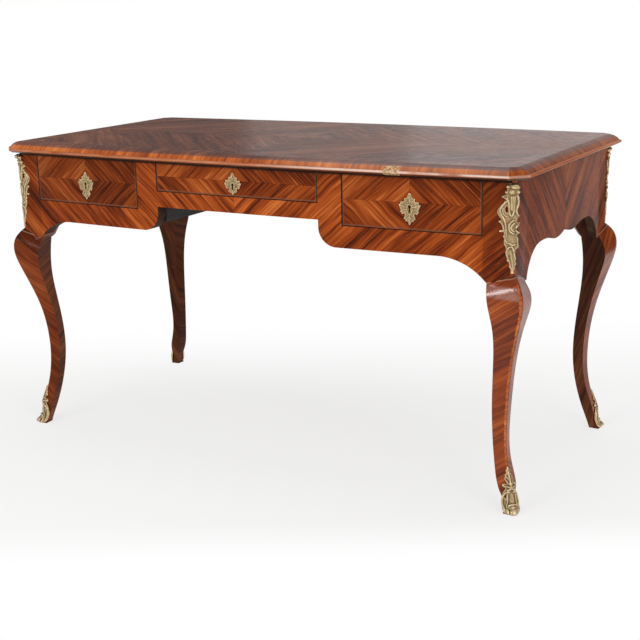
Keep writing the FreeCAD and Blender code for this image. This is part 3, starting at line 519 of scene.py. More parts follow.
def makeGiltBronze(name, plain=False):
    # Old gilding: bright on the high parts, olive and brown in the hollows
    look = giltLook
    material = newMaterial(name)
    where, _ = placesOn(material)
    relief = look["plainRelief"]
    if not plain:
        relief = Wire(place(where.tree, "ShaderNodeAttribute", attribute_name="relief").outputs["Fac"])
    grit = noise(where, *look["grit"])
    paleness = (noise(where, *look["cloud"]) - 0.5) * look["cloudWeight"] + relief
    roughness = (grit - 0.5) * look["gritRough"] + (relief * look["reliefRough"] + look["rough"])
    return dress(material, colorRamp(paleness, look["stops"]), roughness, bump=(grit, *look["bump"]),
                 extras={"Metallic": ramp(paleness, *look["bare"])})


ironLook = dict(bloom=(90.0, 4.0, 0.65), stretch=(0.1, 1, 1), rough=0.22, bloomRough=0.5, bare=(0.66, 0.5),
                bump=(0.1, 0.0002))


def makeIron(name, stops):
    # Filed metal of the locks and screws, with a brown bloom
    material = newMaterial(name)
    where, _ = placesOn(material)
    bloom = noise(where, *ironLook["bloom"])
    filed = useGroup(plainGrain, {"Vector": where, "Stretch": ironLook["stretch"]})
    return dress(material, colorRamp(bloom, stops), bloom * ironLook["bloomRough"] + ironLook["rough"],
                 bump=(filed["Height"], *ironLook["bump"]),
                 extras={"Metallic": ramp(bloom, *ironLook["bare"])})


friezeVeneer = veneer("friezeVeneer", facing=(1, -1), soot=mouldingLow.z)
backVeneer = veneer("backVeneer", facing=(1, 1))
sideLook = dict(u=1, angle=45, shine=0.055, stops=shade(kingwoodStops, 0.72), innerStretch=(1, 0.05, 1))
rightVeneer = veneer("rightVeneer", facing=(0, 1), **sideLook)
leftVeneer = veneer("leftVeneer", facing=(0, -1), **sideLook)
topVeneer = veneer("topVeneer", v=1, angle=48, lean=1, foldV=1, leaf=0.06, contrast=1.0, gloss=0.30,
                   fade=0.25, shine=0.30, pores=0.04, stops=topStops)
borderBand = makeCrossband("borderBand", "border", topStops, shine=0.18)
longEdgeBand = makeCrossband("longEdgeBand", 0, crossbandStops, shine=0.14, crestGlossAndHighlight=0.8, repaired=True)
shortEdgeBand = makeCrossband("shortEdgeBand", 1, shade(crossbandStops, 0.62), shine=0.03)
cornerBand = makeCrossband("cornerBand", "corner", shade(crossbandStops, 0.74), shine=0.08, crestGlossAndHighlight=0.3)
oakAlongX = makeBoard("oakAlongX", (0.05, 1, 1))
oakAlongY = makeBoard("oakAlongY", (1, 0.05, 1))
darkPaint = makeDarkPaint()
giltBronze = makeGiltBronze("giltBronze")
giltNail = makeGiltBronze("giltNail", plain=True)
ironGrey = makeIron("ironGrey", [
    (0.3, (0.32, 0.31, 0.30)), (0.55, (0.20, 0.18, 0.165)), (0.75, (0.11, 0.065, 0.04))])
boltSteel = makeIron("boltSteel", [
    (0.3, (0.52, 0.51, 0.49)), (0.6, (0.38, 0.36, 0.33)), (0.8, (0.16, 0.10, 0.07))])
print("finishes made:", len(bpy.data.materials))


def finish(material, *names):
    for name in names:
        data = nodes[name].data
        data.materials.clear()
        data.materials.append(material)


finish(topVeneer, "top_field_veneer")
finish(borderBand, "top_banding")
finish(oakAlongX, "top_core")
finish(friezeVeneer, "apron_left", "apron_right", "drawer_divider_left", "drawer_divider_right",
       "kneehole_rail")
finish(backVeneer, "back_panel")
finish(rightVeneer, "side_panel_right")
finish(leftVeneer, "side_panel_left")
finish(darkPaint, "kneehole_cheek_left", "kneehole_cheek_right")
finish(oakAlongY, "drawer_runners", "drawer_guides", "drawer_kickers", "glue_blocks", "drawer_stops")
finish(ironGrey, "top_screws")
for word in words:
    finish(oakAlongY, f"drawer_{word}_sides", f"drawer_{word}_bottom")
    finish(oakAlongX, f"drawer_{word}_back")
    finish(ironGrey, f"lock_case_{word}")
    finish(boltSteel, f"lock_bolt_{word}")
    finish(giltNail, f"escutcheon_nails_{word}")


# Modelling helpers

mergeGap = dict(copy=0.00002, cut=0.000004, sliver=0.000002)


def only(thing):
    if bpy.context.mode != "OBJECT":
        bpy.ops.object.mode_set(mode="OBJECT")
    bpy.ops.object.select_all(action="DESELECT")
    thing.select_set(True)
    bpy.context.view_layer.objects.active = thing
    return thing


def linked(name, data):
    thing = bpy.data.objects.new(name, data)
    bpy.context.scene.collection.objects.link(thing)
    return thing


@contextlib.contextmanager
def editing(select=None):
    # The active object in edit mode, with all or none of it selected
    bpy.ops.object.mode_set(mode="EDIT")
    if select:
        bpy.ops.mesh.select_all(action=select)
    yield
    bpy.ops.object.mode_set(mode="OBJECT")


def settled(**changes):
    # Places, turns and scales the active object, and writes that into its mesh
    thing = bpy.context.object
    for setting, value in changes.items():
        setattr(thing, setting, value)
    bpy.ops.object.transform_apply(location=True, rotation=True, scale=True)
    return thing


def applyModifier(thing, kind, **settings):
    only(thing)
    modifier = thing.modifiers.new(kind.title(), kind)
    for setting, value in settings.items():
        setattr(modifier, setting, value)
    bpy.ops.object.modifier_apply(modifier=modifier.name)


def cutAway(thing, cutter):
    # A boolean cut, with the slivers along its edges merged
    applyModifier(thing, "BOOLEAN", object=cutter, operation="DIFFERENCE", solver="EXACT")
    with editing("SELECT"):
        bpy.ops.mesh.remove_doubles(threshold=mergeGap["cut"])
        bpy.ops.mesh.dissolve_degenerate(threshold=mergeGap["sliver"])


def joinAll(pieces, name):
    only(pieces[0])
    for piece in pieces:
        piece.select_set(True)
    bpy.ops.object.join()
    whole = bpy.context.object
    whole.name = name
    return whole


def mergedCopy(nodeName, newName):
    # A node's own shape with its triangles merged, so that it can be smoothed
    copy = linked(newName, nodes[nodeName].data.copy())
    copy.data.materials.clear()
    only(copy)
    with editing("SELECT"):
        bpy.ops.mesh.customdata_custom_splitnormals_clear()
        bpy.ops.mesh.remove_doubles(threshold=mergeGap["copy"])
    return copy


def smoothed(thing, degrees):
    only(thing)
    bpy.ops.object.shade_smooth_by_angle(angle=math.radians(degrees))
    return thing


def takesPlaceOf(thing, nodeName, body):
    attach(thing, body)
    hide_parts(nodeName)


# The moulded edge of the top
for word, band in (("front", longEdgeBand), ("back", longEdgeBand), ("left", shortEdgeBand),
                   ("right", shortEdgeBand), ("corners", cornerBand)):
    edge = smoothed(mergedCopy(f"moulding_{word}", f"mouldedEdge_{word}"), 32)
    edge.data.materials.append(band)
    takesPlaceOf(edge, f"moulding_{word}", "carcase")
print("moulded edge done")

keyholeLook = dict(scale=300.0, stops=[(0.3, (0.003, 0.002, 0.002)), (0.7, (0.010, 0.007, 0.005))],
                   rough=0.6, mottleRough=0.3, shine=0.1)


def makeKeyholeDark():
    # Painted shade: the walls of a keyhole are made near black
    material = newMaterial("keyholeDark")
    where, _ = placesOn(material)
    shadeMottle = noise(where, keyholeLook["scale"])
    roughness = shadeMottle * keyholeLook["mottleRough"] + keyholeLook["rough"]
    return dress(material, colorRamp(shadeMottle, keyholeLook["stops"]), roughness, keyholeLook["shine"])


keyholeDark = makeKeyholeDark()
bow = dict(radius=10.8315, centre=10.4795)


def bowAt(x):
    # The bowed face of the drawers at x
    return bow["centre"] - math.sqrt(bow["radius"] ** 2 - x * x)


# Drawer fronts with a softened front edge
drawerLook = dict(leaf=0.03, arris=0.0012, strip=0.0050, gapShade=0.0026, spare=0.0013, near=0.00005,
                  offFace=0.0008, keyReach=0.004, wall=0.5,
                  # the left front is painted darker and the centre a little darker: painted shade of the
                  # light falling off to the left
                  depth=dict(left=0.66, centre=0.84, right=0.88))


def onRim(ends, low, high):
    # Whether an edge lies on the rim of the bowed face of a drawer front
    near = drawerLook["near"]
    onEnd = any(all(abs(point.x - x) < near for point in ends) for x in (low.x, high.x))
    onLength = any(all(abs(point.z - z) < near for point in ends) for z in (low.z, high.z))
    onFace = max(point.y - bowAt(point.x) for point in ends) < drawerLook["offFace"]
    return (onEnd or onLength) and onFace


for word in words:
    low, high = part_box(f"drawer_{word}_front")
    front = mergedCopy(f"drawer_{word}_front", f"drawerFront_{word}")
    middle, half = (low + high) / 2, (high - low) / 2
    front.data.materials.append(veneer(
        f"drawerVeneer_{word}", lean=1, foldV=1, centre=(middle.x, middle.z), leaf=drawerLook["leaf"],
        facing=(1, -1), stops=shade(kingwoodStops, drawerLook["depth"][word]), inner=oakStops,
        soot=mouldingLow.z,
        border=(half.x, half.z, drawerLook["strip"], drawerLook["gapShade"], drawerLook["spare"])))
    with editing("DESELECT"):
        bpy.ops.mesh.select_mode(type="EDGE")
    points = [vertex.co for vertex in front.data.vertices]
    for edge in front.data.edges:
        edge.select = onRim([points[index] for index in edge.vertices], low, high)
    with editing():
        bpy.ops.mesh.bevel(offset=drawerLook["arris"], segments=3, affect="EDGES")
    front.data.materials.append(keyholeDark)
    plateLow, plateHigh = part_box(f"escutcheon_{word}")
    keyX = (plateLow.x + plateHigh.x) / 2
    # the walls of the keyhole get the near-black painted shade
    for face in front.data.polygons:   # the walls of the keyhole
        inPlate = plateLow.z < face.center.z < plateHigh.z
        nearKey = abs(face.center.x - keyX) < drawerLook["keyReach"]
        if inPlate and nearKey and abs(face.normal.y) < drawerLook["wall"]:
            face.material_index = 1
    smoothed(front, 30)
    takesPlaceOf(front, f"drawer_{word}_front", f"drawer_{word}")
print("drawer fronts done")

# Legs: the stile carries the frieze's veneer, the cabriole its own, with a banded arris
corners = {"front_right": (1, -1), "front_left": (-1, -1), "back_right": (1, 1), "back_left": (-1, 1)}
legLook = dict(stileFoot=0.530, stileFacing=0.98, arrisShare=0.42, faceShare=0.45, collarSlope=0.26,
               collarFront=0.622, collarSide=0.254, knee=(0.513, 0.017), sidePores=0.03)
legFaceLook = dict(gloss=0.20, contrast=0.6, leaf=0.045, angle=34)
arrisLook = dict(leaf=0.038, contrast=0.8, gloss=0.26, fade=0.12, shine=0.25, bump=(0.12, 0.00025))


def makeArrisBand():
    # Narrow pieces of paler veneer set across the round outer corner of the leg
    material = newMaterial("arrisBand")
    where, _ = placesOn(material)
    x, _, z = split(where)
    figure = useGroup(kingwoodFigure, {
        "Across": z, "Along": x, "Side": x.sign(), "Leaf Width": arrisLook["leaf"],
        "Contrast": arrisLook["contrast"]})
    polish = useGroup(oldPolish, {"Vector": where, "Gloss": arrisLook["gloss"]})
    color = colorRamp(polish["Fade"] * arrisLook["fade"] + figure["Tone"], crossbandStops)
    pores = (figure["Height"], *arrisLook["bump"])
    return dress(material, color, polish["Roughness"], arrisLook["shine"], pores)


def legVeneers(word, depth, shine, **polished):
    look = dict(shine=shine, stops=shade(kingwoodStops, depth), **legFaceLook)
    front, side = ((legLook["stileFoot"], legLook["collarSlope"], legLook[start])
                   for start in ("collarFront", "collarSide"))
    return (veneer(f"legFront_{word}", collar=front, **polished, **look),
            veneer(f"legSide_{word}", u=1, collar=side, pores=legLook["sidePores"], **look))


# the left legs are painted darker than the right: painted shade of the light falling off to the left
legFaces = {1: legVeneers("right", depth=0.95, shine=0.20, knee=legLook["knee"]),
            -1: legVeneers("left", depth=0.60, shine=0.08)}
# the inner faces of the front legs are painted lighter than those of the back legs: painted light
legInner = {-1: veneer("legInner_front", angle=70, gloss=0.4, stops=shade(innerStops, 1.7)),
            1: veneer("legInner_back", angle=70, gloss=0.4, stops=innerStops)}
arrisBand = makeArrisBand()
stileSides = {1: rightVeneer, -1: leftVeneer}
stileFronts = {1: backVeneer, -1: veneer("stileVeneer", facing=(1, -1), soot=mouldingLow.z,
                                         stops=shade(kingwoodStops, 0.76))}
# A block and the slope that it is sliced along, measured from the middle of the table
stileCut = dict(low=(0.600, 0.230, 0.5205), high=(0.670, 0.350, 0.570), slopeFrom=(0.620, 0.252, 0.570),
                slopeFacing=(0.867, 0.498, 0.594))


def cutStileFoot(leg, signX, signY):
    # The inner corner of the stile's foot slopes back to the round of the leg
    low, high, slopeFrom, slopeFacing = (Vector(spot) for spot in stileCut.values())
    hand = Vector((signX, signY, 1))
    only(leg)
    bpy.ops.mesh.primitive_cube_add(size=1)
    block = settled(scale=high - low, location=(low + high) / 2 * hand)
    with editing("SELECT"):
        bpy.ops.mesh.bisect(plane_co=slopeFrom * hand, plane_no=slopeFacing * hand, use_fill=True,
                            clear_outer=True)
        bpy.ops.mesh.select_all(action="SELECT")
        bpy.ops.mesh.normals_make_consistent(inside=False)
    cutAway(leg, block)
    bpy.data.objects.remove(block)


for corner, (signX, signY) in corners.items():
    leg = mergedCopy(f"leg_{corner}", f"cabrioleLeg_{corner}")
    cutStileFoot(leg, signX, signY)
    leg.data.materials.clear()
    for material in (stileFronts[signY], stileSides[signX], *legFaces[signX], arrisBand, legInner[signY]):
        leg.data.materials.append(material)
    for face in leg.data.polygons:
        outX, outY = face.normal.x * signX, face.normal.y * signY
        if face.center.z > legLook["stileFoot"] and max(outX, outY) > legLook["stileFacing"]:
            face.material_index = 0 if outY > outX else 1
        elif min(outX, outY) > legLook["arrisShare"]:
            face.material_index = 4
        elif max(outX, outY) > legLook["faceShare"]:
            face.material_index = 2 if outY > outX else 3
        else:
            face.material_index = 5
    smoothed(leg, 38)
    takesPlaceOf(leg, f"leg_{corner}", "carcase")
print("legs done")


# Cast mounts: a blank cut to its outline, with ridges, knops and scrolls on it, made into one casting that
# is then laid on the wood. Set out in millimetres: u across, v up, w out from the wood.

def castSheet(outlines, thick):
    # The blank of a mount: its outline, and the outline of each hole
    curve = bpy.data.curves.new("blank", "CURVE")
    curve.dimensions = "2D"
    curve.fill_mode = "BOTH"
    curve.extrude = thick / 2 * mm
    for outline in outlines:
        spline = curve.splines.new("POLY")
        spline.points.add(len(outline) - 1)
        for point, (u, v) in zip(spline.points, outline):
            point.co = (u * mm, v * mm, 0, 1)
        spline.use_cyclic_u = True
    only(linked("blank", curve))
    bpy.ops.object.convert(target="MESH")
    return settled(rotation_euler=(math.pi / 2, 0, 0), location=(0, -thick / 2 * mm, 0))


def scrollTube(points, out, closed=False):
    # A round ridge through points (u, v, radius), or (u, v, radius, height out)
    curve = bpy.data.curves.new("scroll", "CURVE")
    curve.dimensions = "3D"
    curve.bevel_depth = mm
    curve.bevel_resolution = 3
    curve.use_fill_caps = True
    spline = curve.splines.new("NURBS")
    spline.points.add(len(points) - 1)
    for point, (u, v, radius, *rest) in zip(spline.points, points):
        height = rest[0] if rest else out
        point.co = (u * mm, -height * mm, v * mm, 1)
        point.radius = radius
    spline.order_u = 3
    spline.use_endpoint_u = not closed
    spline.use_cyclic_u = closed
    spline.resolution_u = 6
    only(linked("scroll", curve))
    bpy.ops.object.convert(target="MESH")
    return bpy.context.object


def knop(u, v, wide, tall, out, rise):
    bpy.ops.mesh.primitive_uv_sphere_add(segments=20, ring_count=12, radius=1)
    return settled(scale=(wide * mm, rise * mm, tall * mm), location=(u * mm, -out * mm, v * mm))


def ovalRing(u, v, wide, tall, radius, out):
    turns = 12
    angles = [2 * math.pi * step / turns for step in range(turns)]
    points = [(u + wide * math.cos(a), v + tall * math.sin(a), radius) for a in angles]
    return scrollTube(points, out, closed=True)


def volute(u, v, outer, inner, turns, start, radius, out):
    thinning = 0.35
    steps = int(turns * 12)
    points = []
    for step in range(steps + 1):
        share = step / steps
        reach = outer + (inner - outer) * share
        angle = math.radians(start) + 2 * math.pi * turns * share
        thickness = radius * (1 - thinning * share)
        points.append((u + reach * math.cos(angle), v + reach * math.sin(angle), thickness))
    return scrollTube(points, out)


def mirrored(parts):
    # Ridges or knops on one side of the middle, and their likeness on the other
    if isinstance(parts[0], list):
        return parts + [[(-u, *rest) for u, *rest in part] for part in parts]
    return parts + [(-u, *rest) for u, *rest in parts]


def mirroredOutline(half):
    return half + [(-u, v) for u, v in reversed(half) if u]


castLook = dict(smooth=0.5, rounds=2, deepest=0.4, evenRounds=16, middle=0.45)


def castMount(name, parts):
    pieces = [castSheet(parts["outlines"], parts["thick"])]
    pieces += [scrollTube(points, parts["ridgeOut"]) for points in parts["ridges"]]
    pieces += [knop(*spot) for spot in parts["knops"]]
    pieces += [ovalRing(*ring) for ring in parts.get("rings", ())]
    pieces += [volute(*turn) for turn in parts.get("volutes", ())]
    casting = joinAll(pieces, name)
    applyModifier(casting, "REMESH", mode="VOXEL", voxel_size=parts["voxel"] * mm)
    applyModifier(casting, "SMOOTH", factor=castLook["smooth"], iterations=castLook["rounds"])
    for vertex in casting.data.vertices:   # nothing needs to reach far into the wood
        vertex.co.y = min(vertex.co.y, castLook["deepest"] * mm)
    markRelief(casting, parts["reliefDepth"] * mm)
    casting.data.materials.append(giltBronze)
    return casting


def markRelief(casting, depth):
    # Keeps how far each point stands above or below the smoothed casting, for the gilding
    data = casting.data
    count = len(data.vertices)
    spots, outward = np.empty(count * 3), np.empty(count * 3)
    data.vertices.foreach_get("co", spots)
    data.vertices.foreach_get("normal", outward)
    ends = np.empty(len(data.edges) * 2, dtype=np.int32)
    data.edges.foreach_get("vertices", ends)
    first, second = ends.reshape(-1, 2).T
    neighbours = np.maximum(np.bincount(ends, minlength=count), 1)
    soft = spots.reshape(-1, 3).copy()
    for _ in range(castLook["evenRounds"]):
        for axis in range(3):
            along = soft[:, axis].copy()
            total = np.bincount(first, along[second], count) + np.bincount(second, along[first], count)
            soft[:, axis] = total / neighbours
    height = ((spots.reshape(-1, 3) - soft) * outward.reshape(-1, 3)).sum(1)
    relief = data.attributes.new("relief", "FLOAT", "POINT")
    relief.data.foreach_set("value", np.clip(castLook["middle"] + height / depth, 0, 1).astype(np.float32))


def sliceOf(mesh, level):
    points = []
    for edge in mesh.edges:
        a, b = (mesh.vertices[index].co for index in edge.vertices)
        if (a.z - level) * (b.z - level) <= 0 and abs(a.z - b.z) > 1e-7:
            points.append(a.lerp(b, (level - a.z) / (b.z - a.z)))
    return points


def sharpCorner(pointsX, pointsY, signX, signY):
    # Where the two outer faces of a leg would meet
    return Vector((max(point.x * signX for point in pointsX) * signX,
                   max(point.y * signY for point in pointsY) * signY, 0))


def wingDirections(signX, signY):
    # Facing a corner of the table from outside: the ways along its left and right faces, and out of them
    alongX, alongY = Vector((-signX, 0, 0)), Vector((0, -signY, 0))
    outX, outY = -alongX, -alongY
    frontIsLeft = signX * signY < 0
    if frontIsLeft:
        return (alongX, outY), (alongY, outX)
    return (alongY, outX), (alongX, outY)


def wrapOnCorner(casting, name, wings, cornerAt, foot, bend, hand=1):
    # Bends a flat casting round the upright edge of a leg; a hand of -1 mirrors it
    (leftWay, leftOut), (rightWay, rightOut) = wings
    copy = linked(name, casting.data.copy())
    turn = math.pi / 4 * bend
    for vertex in copy.data.vertices:
        u, w, level = vertex.co.x * hand, -vertex.co.y, vertex.co.z + foot
        sharp = cornerAt(level)
        if abs(u) <= turn:
            angle = math.pi / 4 + u / bend
            outward = leftOut * math.cos(angle) + rightOut * math.sin(angle)
            spot = sharp - (leftOut + rightOut) * bend + outward * (bend + w)
        elif u < 0:
            spot = sharp - rightOut * bend + leftWay * (-u - turn) + leftOut * w
        else:
            spot = sharp - leftOut * bend + rightWay * (u - turn) + rightOut * w
        vertex.co = (spot.x, spot.y, level)
    if hand < 0:
        copy.data.flip_normals()
    return smoothed(copy, 60)


# Chutes: a knop is (u, v, half width, half height, out, rise)
chuteOutline = [
    (-2, 197), (-6.3, 196.2), (-11.2, 194), (-16, 189), (-15.2, 185.4), (-12, 182.6), (-17.3, 179.4),
    (-19.2, 176.2), (-16.7, 172), (-12.2, 169), (-21.6, 169.2), (-26, 165.8), (-21.5, 162.8),
    (-15.5, 159.8), (-20, 156.7), (-23.6, 151.7), (-29.5, 146.4), (-34, 139), (-35.6, 133), (-33, 126),
    (-27.5, 119.5), (-24.4, 114.4), (-29, 115.8), (-32.7, 113.8), (-30.6, 110), (-26.5, 107.5),
    (-23.4, 100.8), (-22.5, 95.5), (-27.8, 95), (-30.3, 92.3), (-26.2, 90.2), (-20.5, 91.5), (-20, 85.2),
    (-21.8, 79.8), (-18.4, 78.6), (-20, 72), (-19, 65), (-15.8, 58), (-14.2, 52.3), (-16, 47.8),
    (-14.7, 40.6), (-12, 34.7), (-12.2, 28.8), (-8.2, 27), (-7, 22), (-8.3, 16.3), (-5.6, 14.4), (-4.6, 9),
    (-4.8, 3.2), (-1.8, 0.8), (0.8, 3), (0.6, 8.8), (2.7, 13), (2.2, 18.8), (6.3, 22.6), (3.4, 28.6),
    (5.4, 35), (3, 40.6), (2.4, 48), (3.3, 54.4), (11, 56.6), (8.6, 64.4), (9.6, 71.4), (8.8, 80.3),
    (4.7, 84), (10.5, 86), (16.5, 88), (7.7, 91.3), (4.5, 95.5), (6, 101), (10.6, 105.2), (18.5, 108),
    (8.6, 112), (4.8, 111.5), (5.3, 117), (8, 121.5), (14.6, 124), (8, 129.4), (5, 134), (7.3, 141),
    (13, 145.7), (16, 153.7), (14, 162.7), (6.5, 168.8), (9.4, 173.3), (9.5, 178.3), (6.5, 182.3),
    (7.5, 187.8), (3.4, 193.7)]
chuteHole = [(-14.8, 148), (-11.7, 143), (-11.3, 136), (-14.5, 131), (-18, 135.7), (-18, 142.8)]
chuteParts = dict(
    outlines=[chuteOutline, chuteHole], thick=3.2, voxel=0.75, reliefDepth=2.2, ridgeOut=3.7,
    ridges=[
        [(3, 170, 1.8), (7.5, 161, 2.2), (8, 152, 2.3), (4.2, 143, 2.0), (3, 135, 1.8), (7, 126, 1.8),
         (13, 124, 1.5, 2.7)],
        [(-14, 165, 1.5), (-9, 151, 1.6), (-9.3, 134, 1.7), (-6, 125, 1.7, 4.2), (-2.4, 129, 1.6, 4.2),
         (-0.6, 142, 1.5, 4.2), (0, 168, 1.4)],
        [(-6, 168, 1.3, 4.2), (-5.2, 151, 1.4, 4.2), (-5, 136, 1.4, 4.2), (-3.4, 143, 1.3, 4.2),
         (-3, 168, 1.3, 4.2)],
        [(-11, 160, 1.8), (-22, 150, 2.6, 2.8), (-30, 138, 3.3, 2.9), (-26, 126, 2.8, 2.6),
         (-18.5, 116, 2.2, 3), (-15, 102, 1.9), (-14, 82, 1.6)],
        [(-21.6, 143, 1.3, 3.8), (-24, 134.5, 1.4, 4), (-20, 127, 1.4, 4), (-14, 124, 1.3, 3.8)],
        [(-1, 118, 1.5, 4.2), (-8.5, 111, 1.6, 4.2), (-9.4, 101, 1.6, 4.2), (-6.7, 91, 1.5, 4.2),
         (0, 87, 1.4, 4.2)],
        [(0, 111, 1.3, 4.6), (-5.4, 105.5, 1.4, 4.6), (-5.4, 97, 1.4, 4.6), (0, 92, 1.3, 4.6)],
        [(-25, 166, 1.7, 2.7), (-17, 164.5, 2.0, 2.8), (-11, 157, 1.7)],
        [(-31.5, 113.5, 1.8, 2.7), (-26, 112, 1.9, 2.9), (-21, 101, 1.7, 2.6), (-18, 88, 1.5, 2.8)],
        [(17, 108, 1.6, 2.7), (9, 109.5, 1.8), (3, 100, 1.5)],
        [(15, 88, 1.9, 2.7), (8, 88.6, 1.7), (3, 95, 1.5)],
        [(10, 57.5, 1.5, 2.7), (7.6, 66, 1.8, 3), (6.5, 79, 1.5)],
        [(-18, 75, 1.6, 2.6), (-12, 67.5, 1.6), (-7.4, 68, 1.6, 4), (-3, 62, 1.5, 4), (3, 66, 1.4, 3.4)],
        [(-13, 52, 1.7, 2.6), (-9.4, 59, 1.7), (-3, 60.5, 1.6, 3.8), (-0.6, 53, 1.5), (1, 40, 1.3, 2.8),
         (4.4, 34.5, 1.1, 2.7)],
        [(-13.5, 46, 1.3, 2.9), (-10, 37, 1.3, 2.6), (-6.5, 24, 1.2, 2.6), (-4.5, 12, 1.1, 2.9)],
        [(-6, 50, 1.3, 3), (-3.6, 34, 1.4, 3), (-1.8, 20, 1.3, 2.8), (-2, 5, 1.5, 2.9)]],
    knops=[
        (-2, 189.5, 6.6, 6.4, 2.4, 4.2), (-11, 188.4, 4.6, 5, 2, 3.6), (3.6, 186.6, 4, 5, 2, 3.6),
        (-14.4, 176.4, 4.4, 4, 2, 3.4), (5.6, 176, 3.6, 4.4, 2, 3.2), (-5, 176, 7, 7, 0, 4.4),
        (-28.5, 92.6, 2.7, 2.4, 2.4, 2.8), (-3, 148, 10, 24, 0, 4), (-5, 102, 12, 26, 0, 4.2),
        (-5, 70, 10, 18, 0, 4), (-4, 38, 6, 22, 0, 3.6), (-25, 136, 8, 13, 0, 3.6),
        (-2, 4.5, 2.6, 3.8, 2, 2.4)],
    volutes=[(-1.6, 189.6, 4.6, 1.2, 1.4, 200, 1.2, 6)])
chuteLook = dict(bend=13.7 * mm, stileLevel=0.70, near=0.00002, headFrom=0.158, headTo=0.182, headLift=0.9)
chuteCasting = castMount("chuteCasting", chuteParts)
for vertex in chuteCasting.data.vertices:   # the head stands out more than the rest
    share = (vertex.co.z - chuteLook["headFrom"]) / (chuteLook["headTo"] - chuteLook["headFrom"])
    share = min(max(share, 0), 1)
    vertex.co.y *= 1 + chuteLook["headLift"] * share * share * (3 - 2 * share)
for corner, (signX, signY) in corners.items():
    low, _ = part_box(f"chute_{corner}")
    stile = sliceOf(nodes[f"leg_{corner}"].data, chuteLook["stileLevel"])
    reach = max(point.x * signX + point.y * signY for point in stile) - chuteLook["near"]
    cants = [point for point in stile if point.x * signX + point.y * signY > reach]
    stileCorner = sharpCorner(stile, cants, signX, signY)
    chute = wrapOnCorner(chuteCasting, f"chuteMount_{corner}", wingDirections(signX, signY),
                         lambda level: stileCorner, low.z, chuteLook["bend"], hand=-signX * signY)
    takesPlaceOf(chute, f"chute_{corner}", "carcase")
bpy.data.objects.remove(chuteCasting)
print("chutes done")

# Sabots: half of the parts, mirrored about the arris of the leg
sabotHalf = [
    (0, 1), (12, 1.5), (20, 2), (24.5, 5), (25.5, 10), (25, 16), (24.5, 25), (23, 34), (21, 42), (18, 48.5),
    (13.7, 53.5), (10.8, 57.5), (13.6, 59.5), (16.9, 60.9), (18.4, 63.9), (15.4, 67.8), (10.4, 68.7),
    (8.9, 66.1), (5.9, 70), (5.9, 73.9), (7.9, 77), (11.4, 80), (6.9, 84.4), (8.4, 87.4), (4.1, 91.3),
    (3.3, 94.4), (4.1, 99.2), (2.2, 101.3), (1.4, 103.9), (0, 106.5)]
sabotHole = [(13, 43), (15, 40), (15.4, 34), (14, 31.5), (12, 34), (11.6, 40)]
sabotRidges = [
    [(0.6, 87.8, 1.0, 3.6), (3.2, 97.8, 0.9, 2.8)],
    [(0.6, 77.4, 1.1, 3.8), (2.8, 80.9, 1.1, 3.6), (6.4, 86.5, 0.9, 2.8)],
    [(1, 67, 1.2, 4), (4.4, 72.2, 1.3, 3.6), (9.4, 79.1, 1.0, 2.8)],
    [(3.3, 63.5, 1.5, 4), (9.4, 61.3, 1.7, 3.8), (16.4, 62.6, 1.8, 3.2)],
    [(-7, 53, 1.6, 4.2), (0, 58.5, 1.7, 5), (3.9, 63.5, 1.5, 4.4)],
    [(2.6, 50.5, 1.8, 4.4), (8, 50, 2.0), (15, 45.5, 2.4), (20, 36, 2.7), (22, 25, 2.8), (21.6, 16, 2.6),
     (19, 11, 2.2)],
    [(7, 46, 1.4, 4.6), (6.8, 38.5, 1.5, 4.8), (7.6, 30, 1.6, 4.8), (10.5, 21.5, 1.5, 4.4),
     (13, 14, 1.4, 4)]]
sabotKnops = [
    (15, 64.7, 3.2, 3.2, 2.6, 3), (20, 9, 4.6, 6, 2.2, 4), (11.4, 8, 4.4, 6.4, 3, 4.8),
    (17, 24, 7, 12, 0, 3.2)]
sabotParts = dict(
    outlines=[mirroredOutline(sabotHalf), sabotHole, [(-u, v) for u, v in sabotHole]], thick=2.8,
    voxel=0.75, reliefDepth=2.0, ridgeOut=3.4,
    ridges=mirrored(sabotRidges) + [
        [(0, 105.2, 0.9, 2.6), (0, 86.1, 1.3, 4), (0, 61.7, 1.6, 4.8)],
        [(-10, 12, 1.5, 4.4), (-6.5, 20, 1.7, 5.4), (0, 24, 1.8, 6.2), (6.5, 20, 1.7, 5.4),
         (10, 12, 1.5, 4.4)]],
    knops=mirrored(sabotKnops) + [
        (0, 80.9, 6, 24, 0, 3.2), (0, 36, 8, 17, 0, 4), (0, 60, 10, 9, 0, 4), (0, 14, 9, 8, 2.4, 5),
        (0, 8, 5.4, 6.4, 6, 5.4), (0, 69.6, 2.2, 2.2, 4.4, 2.2)])
sabotLook = dict(bend=6.5 * mm, levels=26, reach=0.130, foot=0.0005)
sabotCasting = castMount("sabotCasting", sabotParts)
step = sabotLook["reach"] / sabotLook["levels"]
for corner, (signX, signY) in corners.items():
    arris = []
    for index in range(sabotLook["levels"] + 1):
        cutPoints = sliceOf(nodes[f"leg_{corner}"].data, max(index * step, sabotLook["foot"]))
        arris.append(sharpCorner(cutPoints, cutPoints, signX, signY))

    def arrisAt(level):
        spot = min(max(level / step, 0), sabotLook["levels"] - 0.001)
        return arris[int(spot)].lerp(arris[int(spot) + 1], spot - int(spot))

    sabot = wrapOnCorner(sabotCasting, f"sabotMount_{corner}", wingDirections(signX, signY), arrisAt,
                         sabotLook["foot"], sabotLook["bend"])
    takesPlaceOf(sabot, f"sabot_{corner}", "carcase")
bpy.data.objects.remove(sabotCasting)
print("sabots done")

